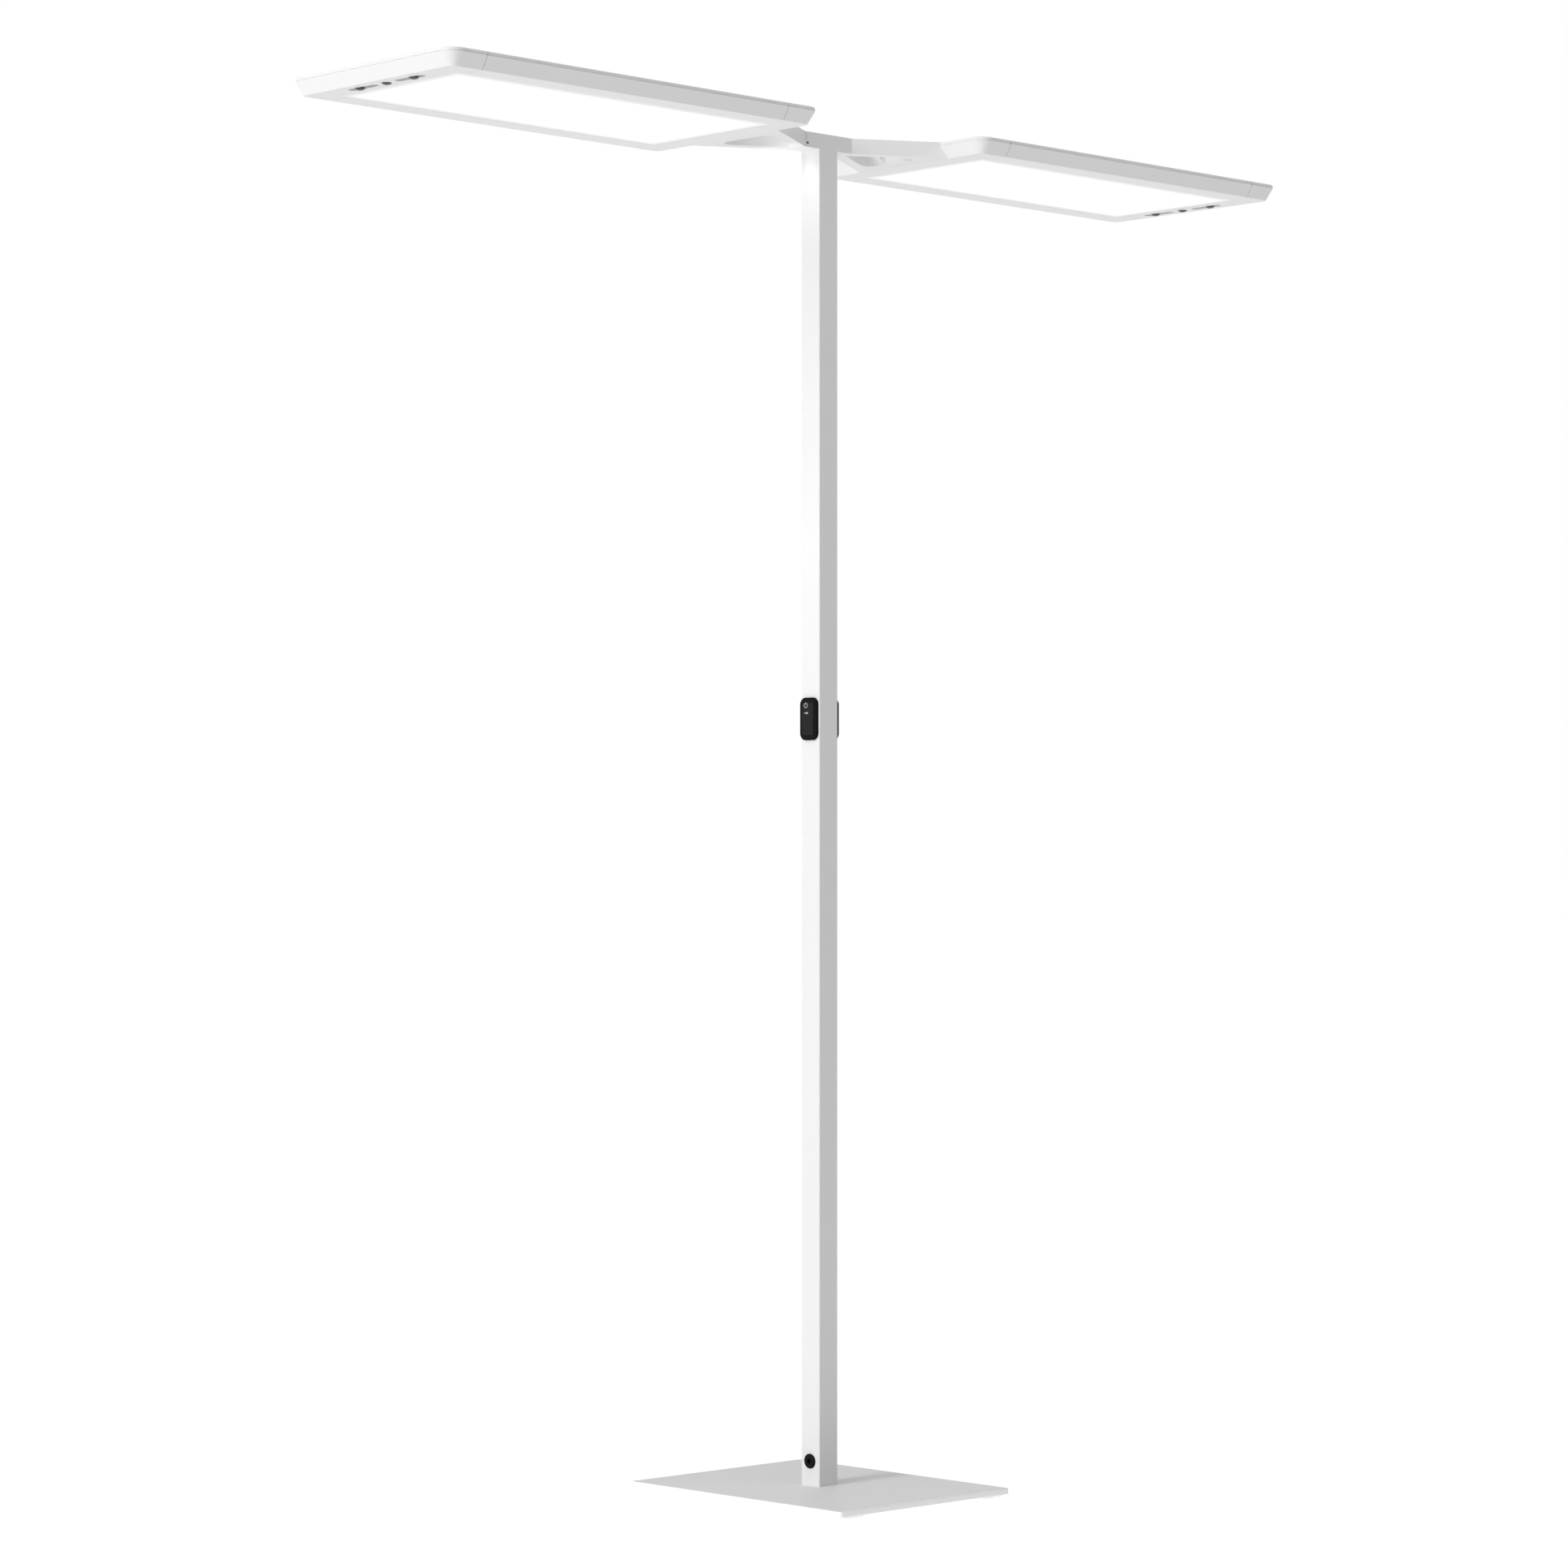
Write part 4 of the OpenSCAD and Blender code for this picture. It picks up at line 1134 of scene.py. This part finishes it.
    def seam_shade_path(self, inset: float) -> list[tuple[float, float]]:
        """Half of the head's section, from the lip down to the inner end of the rail's flange.

        Args:
            inset: distance below the head's surface.

        Returns:
            The path's corners as (y, z).
        """
        low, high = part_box(self.name("rear_rail"))
        bevel_height = high.z - low.z - self.lip_height
        foot = high.y - self.bevel_width - inset * (1 - self.bevel_width / bevel_height)
        return [
            (high.y - inset, high.z - self.lip_edge),
            (high.y - inset, high.z - self.lip_height),
            (foot, low.z + inset),
            (low.y + inset, low.z + inset),
        ]

    def shade_strip(self, faces: Sequence[float], flip: int) -> list[list[Point]]:
        """One strip of painted seam shade.

        Args:
            faces: its two faces along X.
            flip: 1 for the rear rail and -1 for the front rail.

        Returns:
            Its sections along the path.
        """
        first, last = faces
        corners = ((first, 0), (last, 0), (last, 1), (first, 1))
        paths = [self.seam_shade_path(inset) for inset in self.seam_shade_insets]
        return [[(x, flip * across[i][0], across[i][1]) for x, i in corners] for across in zip(*paths)]


# ---------------------------------------------------------------------------------------------------
# The studio
# ---------------------------------------------------------------------------------------------------


@dataclass(frozen=True)
class SoftBox:
    """A large soft lamp that the camera doesn't see."""

    name: str
    place: Point
    aim: Point
    width: float
    height: float
    power: float

    def build(self) -> None:
        """Adds the lamp, turned towards its aim."""
        lamp = bpy.data.lights.new(self.name, "AREA")
        lamp.shape = "RECTANGLE"
        lamp.size = self.width
        lamp.size_y = self.height
        lamp.energy = self.power
        hang_lamp(lamp, self.place, self.aim)


@dataclass(frozen=True)
class Skylight:
    """Even soft light from far away."""

    name: str
    place: Point
    aim: Point
    spread: float
    strength: float

    def build(self) -> None:
        """Adds the light, turned towards its aim."""
        lamp = bpy.data.lights.new(self.name, "SUN")
        lamp.angle = self.spread
        lamp.energy = self.strength
        hang_lamp(lamp, self.place, self.aim)


def hang_lamp(lamp: bpy.types.Light, place: Point, aim: Point) -> None:
    """Puts a lamp in the scene, hidden from the camera and from gloss.

    Args:
        lamp: the lamp's data.
        place: where it hangs.
        aim: the point that it is turned towards.
    """
    holder = bpy.data.objects.new(lamp.name, lamp)
    bpy.context.scene.collection.objects.link(holder)
    holder.location = place
    way = Vector(aim) - Vector(place)
    holder.rotation_euler = way.to_track_quat("-Z", "Y").to_euler()
    holder.visible_camera = False
    holder.visible_glossy = False


@dataclass(frozen=True)
class PhotoCamera:
    """The photograph's camera: level, with its horizon below the middle of the picture."""

    place: Point = (-4.4161, -4.4940, 0.8903)
    heading: float = math.radians(45.965)
    picture_px: float = 1932.0
    focal_px: float = 5399.0
    horizon_row: float = 1076.13
    sensor_mm: float = 36.0

    def build(self) -> None:
        """Adds the camera and makes it the scene's."""
        lens = bpy.data.cameras.new("Camera")
        lens.sensor_width = self.sensor_mm
        lens.lens = self.focal_px / self.picture_px * self.sensor_mm
        lens.shift_y = (self.horizon_row - self.picture_px / 2) / self.picture_px
        camera = bpy.data.objects.new("Camera", lens)
        bpy.context.scene.collection.objects.link(camera)
        camera.location = self.place
        camera.rotation_euler = Euler((math.pi / 2, 0, self.heading - math.pi / 2))
        bpy.context.scene.camera = camera


@dataclass
class Studio:
    """Pale floor, white background, soft light and the camera.

    Attributes:
        floor_glow: share of glow in the floor, for what the camera doesn't see.
        floor_white: share of glow in the floor that the camera sees.
        white_level: strength of the glow.
        rim_glow: what is added to it close round the base, where the camera doesn't see it.
        rim_reach: how far from the base the addition reaches.
        ambient: strength of the world's light.
    """

    floor_half: float = 60.0
    floor_shade: float = 0.9
    floor_glow: float = 0.32
    floor_white: float = 0.75
    white_level: float = 1.25
    rim_glow: float = 1.7
    rim_reach: float = 0.12
    ambient: float = 0.24
    lamps: tuple[SoftBox | Skylight, ...] = (
        SoftBox("Key", (-19.0, -0.3, 7.2), (0, 0, 1.0), width=4.9, height=13.0, power=2230.0),
        SoftBox("Head_spill", (-0.09, 0, 1.874), (0, 0, 1.874), width=0.06, height=0.06, power=0.02),
        Skylight("Top", (-1.0, -0.5, 8.0), (0, 0, 0), spread=math.radians(35), strength=0.75),
    )

    def build(self) -> None:
        """Adds everything round the lamp."""
        self.build_floor()
        self.build_world()
        for lamp in self.lamps:
            lamp.build()
        PhotoCamera().build()
        bpy.context.scene.view_settings.view_transform = "Standard"

    @staticmethod
    def seen(nodes: NodeBuilder) -> bpy.types.NodeSocket:
        """A value that is 1 for what the camera sees, directly, in gloss or through glass.

        Args:
            nodes: the tree that the nodes go into.

        Returns:
            The value's socket.
        """
        path = nodes.add("ShaderNodeLightPath").outputs
        direct = nodes.math("MAXIMUM", path["Is Camera Ray"], path["Is Glossy Ray"])
        return nodes.math("MAXIMUM", direct, path["Is Transmission Ray"])

    def glow_level(self, shader: Shader, seen: bpy.types.NodeSocket) -> bpy.types.NodeSocket:
        """Strength of the floor's glow, greater close round the base where the camera doesn't look.

        Args:
            shader: the floor's shader.
            seen: 1 for what the camera sees.

        Returns:
            The strength.
        """
        low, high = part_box("base_plate")
        axes = shader.add("ShaderNodeSeparateXYZ", {"Vector": shader.place}).outputs
        along = shader.math("SUBTRACT", shader.math("ABSOLUTE", axes["X"]), high.x)
        across = shader.math("SUBTRACT", shader.math("ABSOLUTE", axes["Y"]), high.y)
        off = shader.math("MAXIMUM", along, across)
        sockets = {"Value": off, "From Max": self.rim_reach, "To Min": self.rim_glow, "To Max": 0.0}
        near = shader.add("ShaderNodeMapRange", sockets, interpolation_type="SMOOTHSTEP").outputs["Result"]
        unseen = shader.math("MULTIPLY", near, shader.math("SUBTRACT", 1.0, seen))
        return shader.math("ADD", unseen, self.white_level)

    def build_floor(self) -> None:
        """Adds the floor: pale with a little glow, nearly white to the camera, and clear from below."""
        half = self.floor_half
        mesh = bpy.data.meshes.new("Floor")
        corners = [(-half, -half, 0), (half, -half, 0), (half, half, 0), (-half, half, 0)]
        mesh.from_pydata(corners, [], [(0, 1, 2, 3)])
        shader = Shader("Floor_white")
        shader.set(Base_Color=(self.floor_shade,) * 3 + (1,), Roughness=1.0, Specular_IOR_Level=0.0)
        seen = self.seen(shader)
        glow = shader.add("ShaderNodeEmission", {"Strength": self.glow_level(shader, seen)})
        sockets = {"Value": seen, "To Min": self.floor_glow, "To Max": self.floor_white}
        share = shader.add("ShaderNodeMapRange", sockets).outputs["Result"]
        sockets = {0: share, 1: shader.surface.outputs["BSDF"], 2: glow.outputs["Emission"]}
        above = shader.add("ShaderNodeMixShader", sockets).outputs["Shader"]
        below = shader.add("ShaderNodeBsdfTransparent").outputs["BSDF"]
        back = shader.add("ShaderNodeNewGeometry").outputs["Backfacing"]
        floor = shader.add("ShaderNodeMixShader", {0: back, 1: above, 2: below})
        shader.link(floor.outputs["Shader"], shader.output.inputs["Surface"])
        mesh.materials.append(shader.material)
        link_piece("Floor", mesh)

    def build_world(self) -> None:
        """Gives the world a plain level of light, and white where the camera sees it."""
        world = bpy.data.worlds.new("Studio")
        world.use_nodes = True
        nodes = NodeBuilder(world.node_tree)
        sockets = {"Value": self.seen(nodes), "To Min": self.ambient, "To Max": 1.0}
        level = nodes.add("ShaderNodeMapRange", sockets).outputs["Result"]
        sky = nodes.add("ShaderNodeBackground", {"Color": (1, 1, 1, 1), "Strength": level})
        nodes.add("ShaderNodeOutputWorld", {"Surface": sky.outputs["Background"]})
        bpy.context.scene.world = world


# ---------------------------------------------------------------------------------------------------
# Putting it together
# ---------------------------------------------------------------------------------------------------


def main() -> None:
    """Loads the frame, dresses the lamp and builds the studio."""
    logging.basicConfig(level=logging.INFO, format="%(name)s: %(message)s")
    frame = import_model()
    palette = Palette(frame)
    assemblies: list[Any] = [
        Stand(palette),
        *(ControlUnit(palette, side) for side in Side),
        HubAndForks(palette),
        *(LightHead(palette, side) for side in Side),
        Studio(),
    ]
    for assembly in assemblies:
        assembly.build()
        log.info("built %s", type(assembly).__name__)


if __name__ == "__main__":
    main()
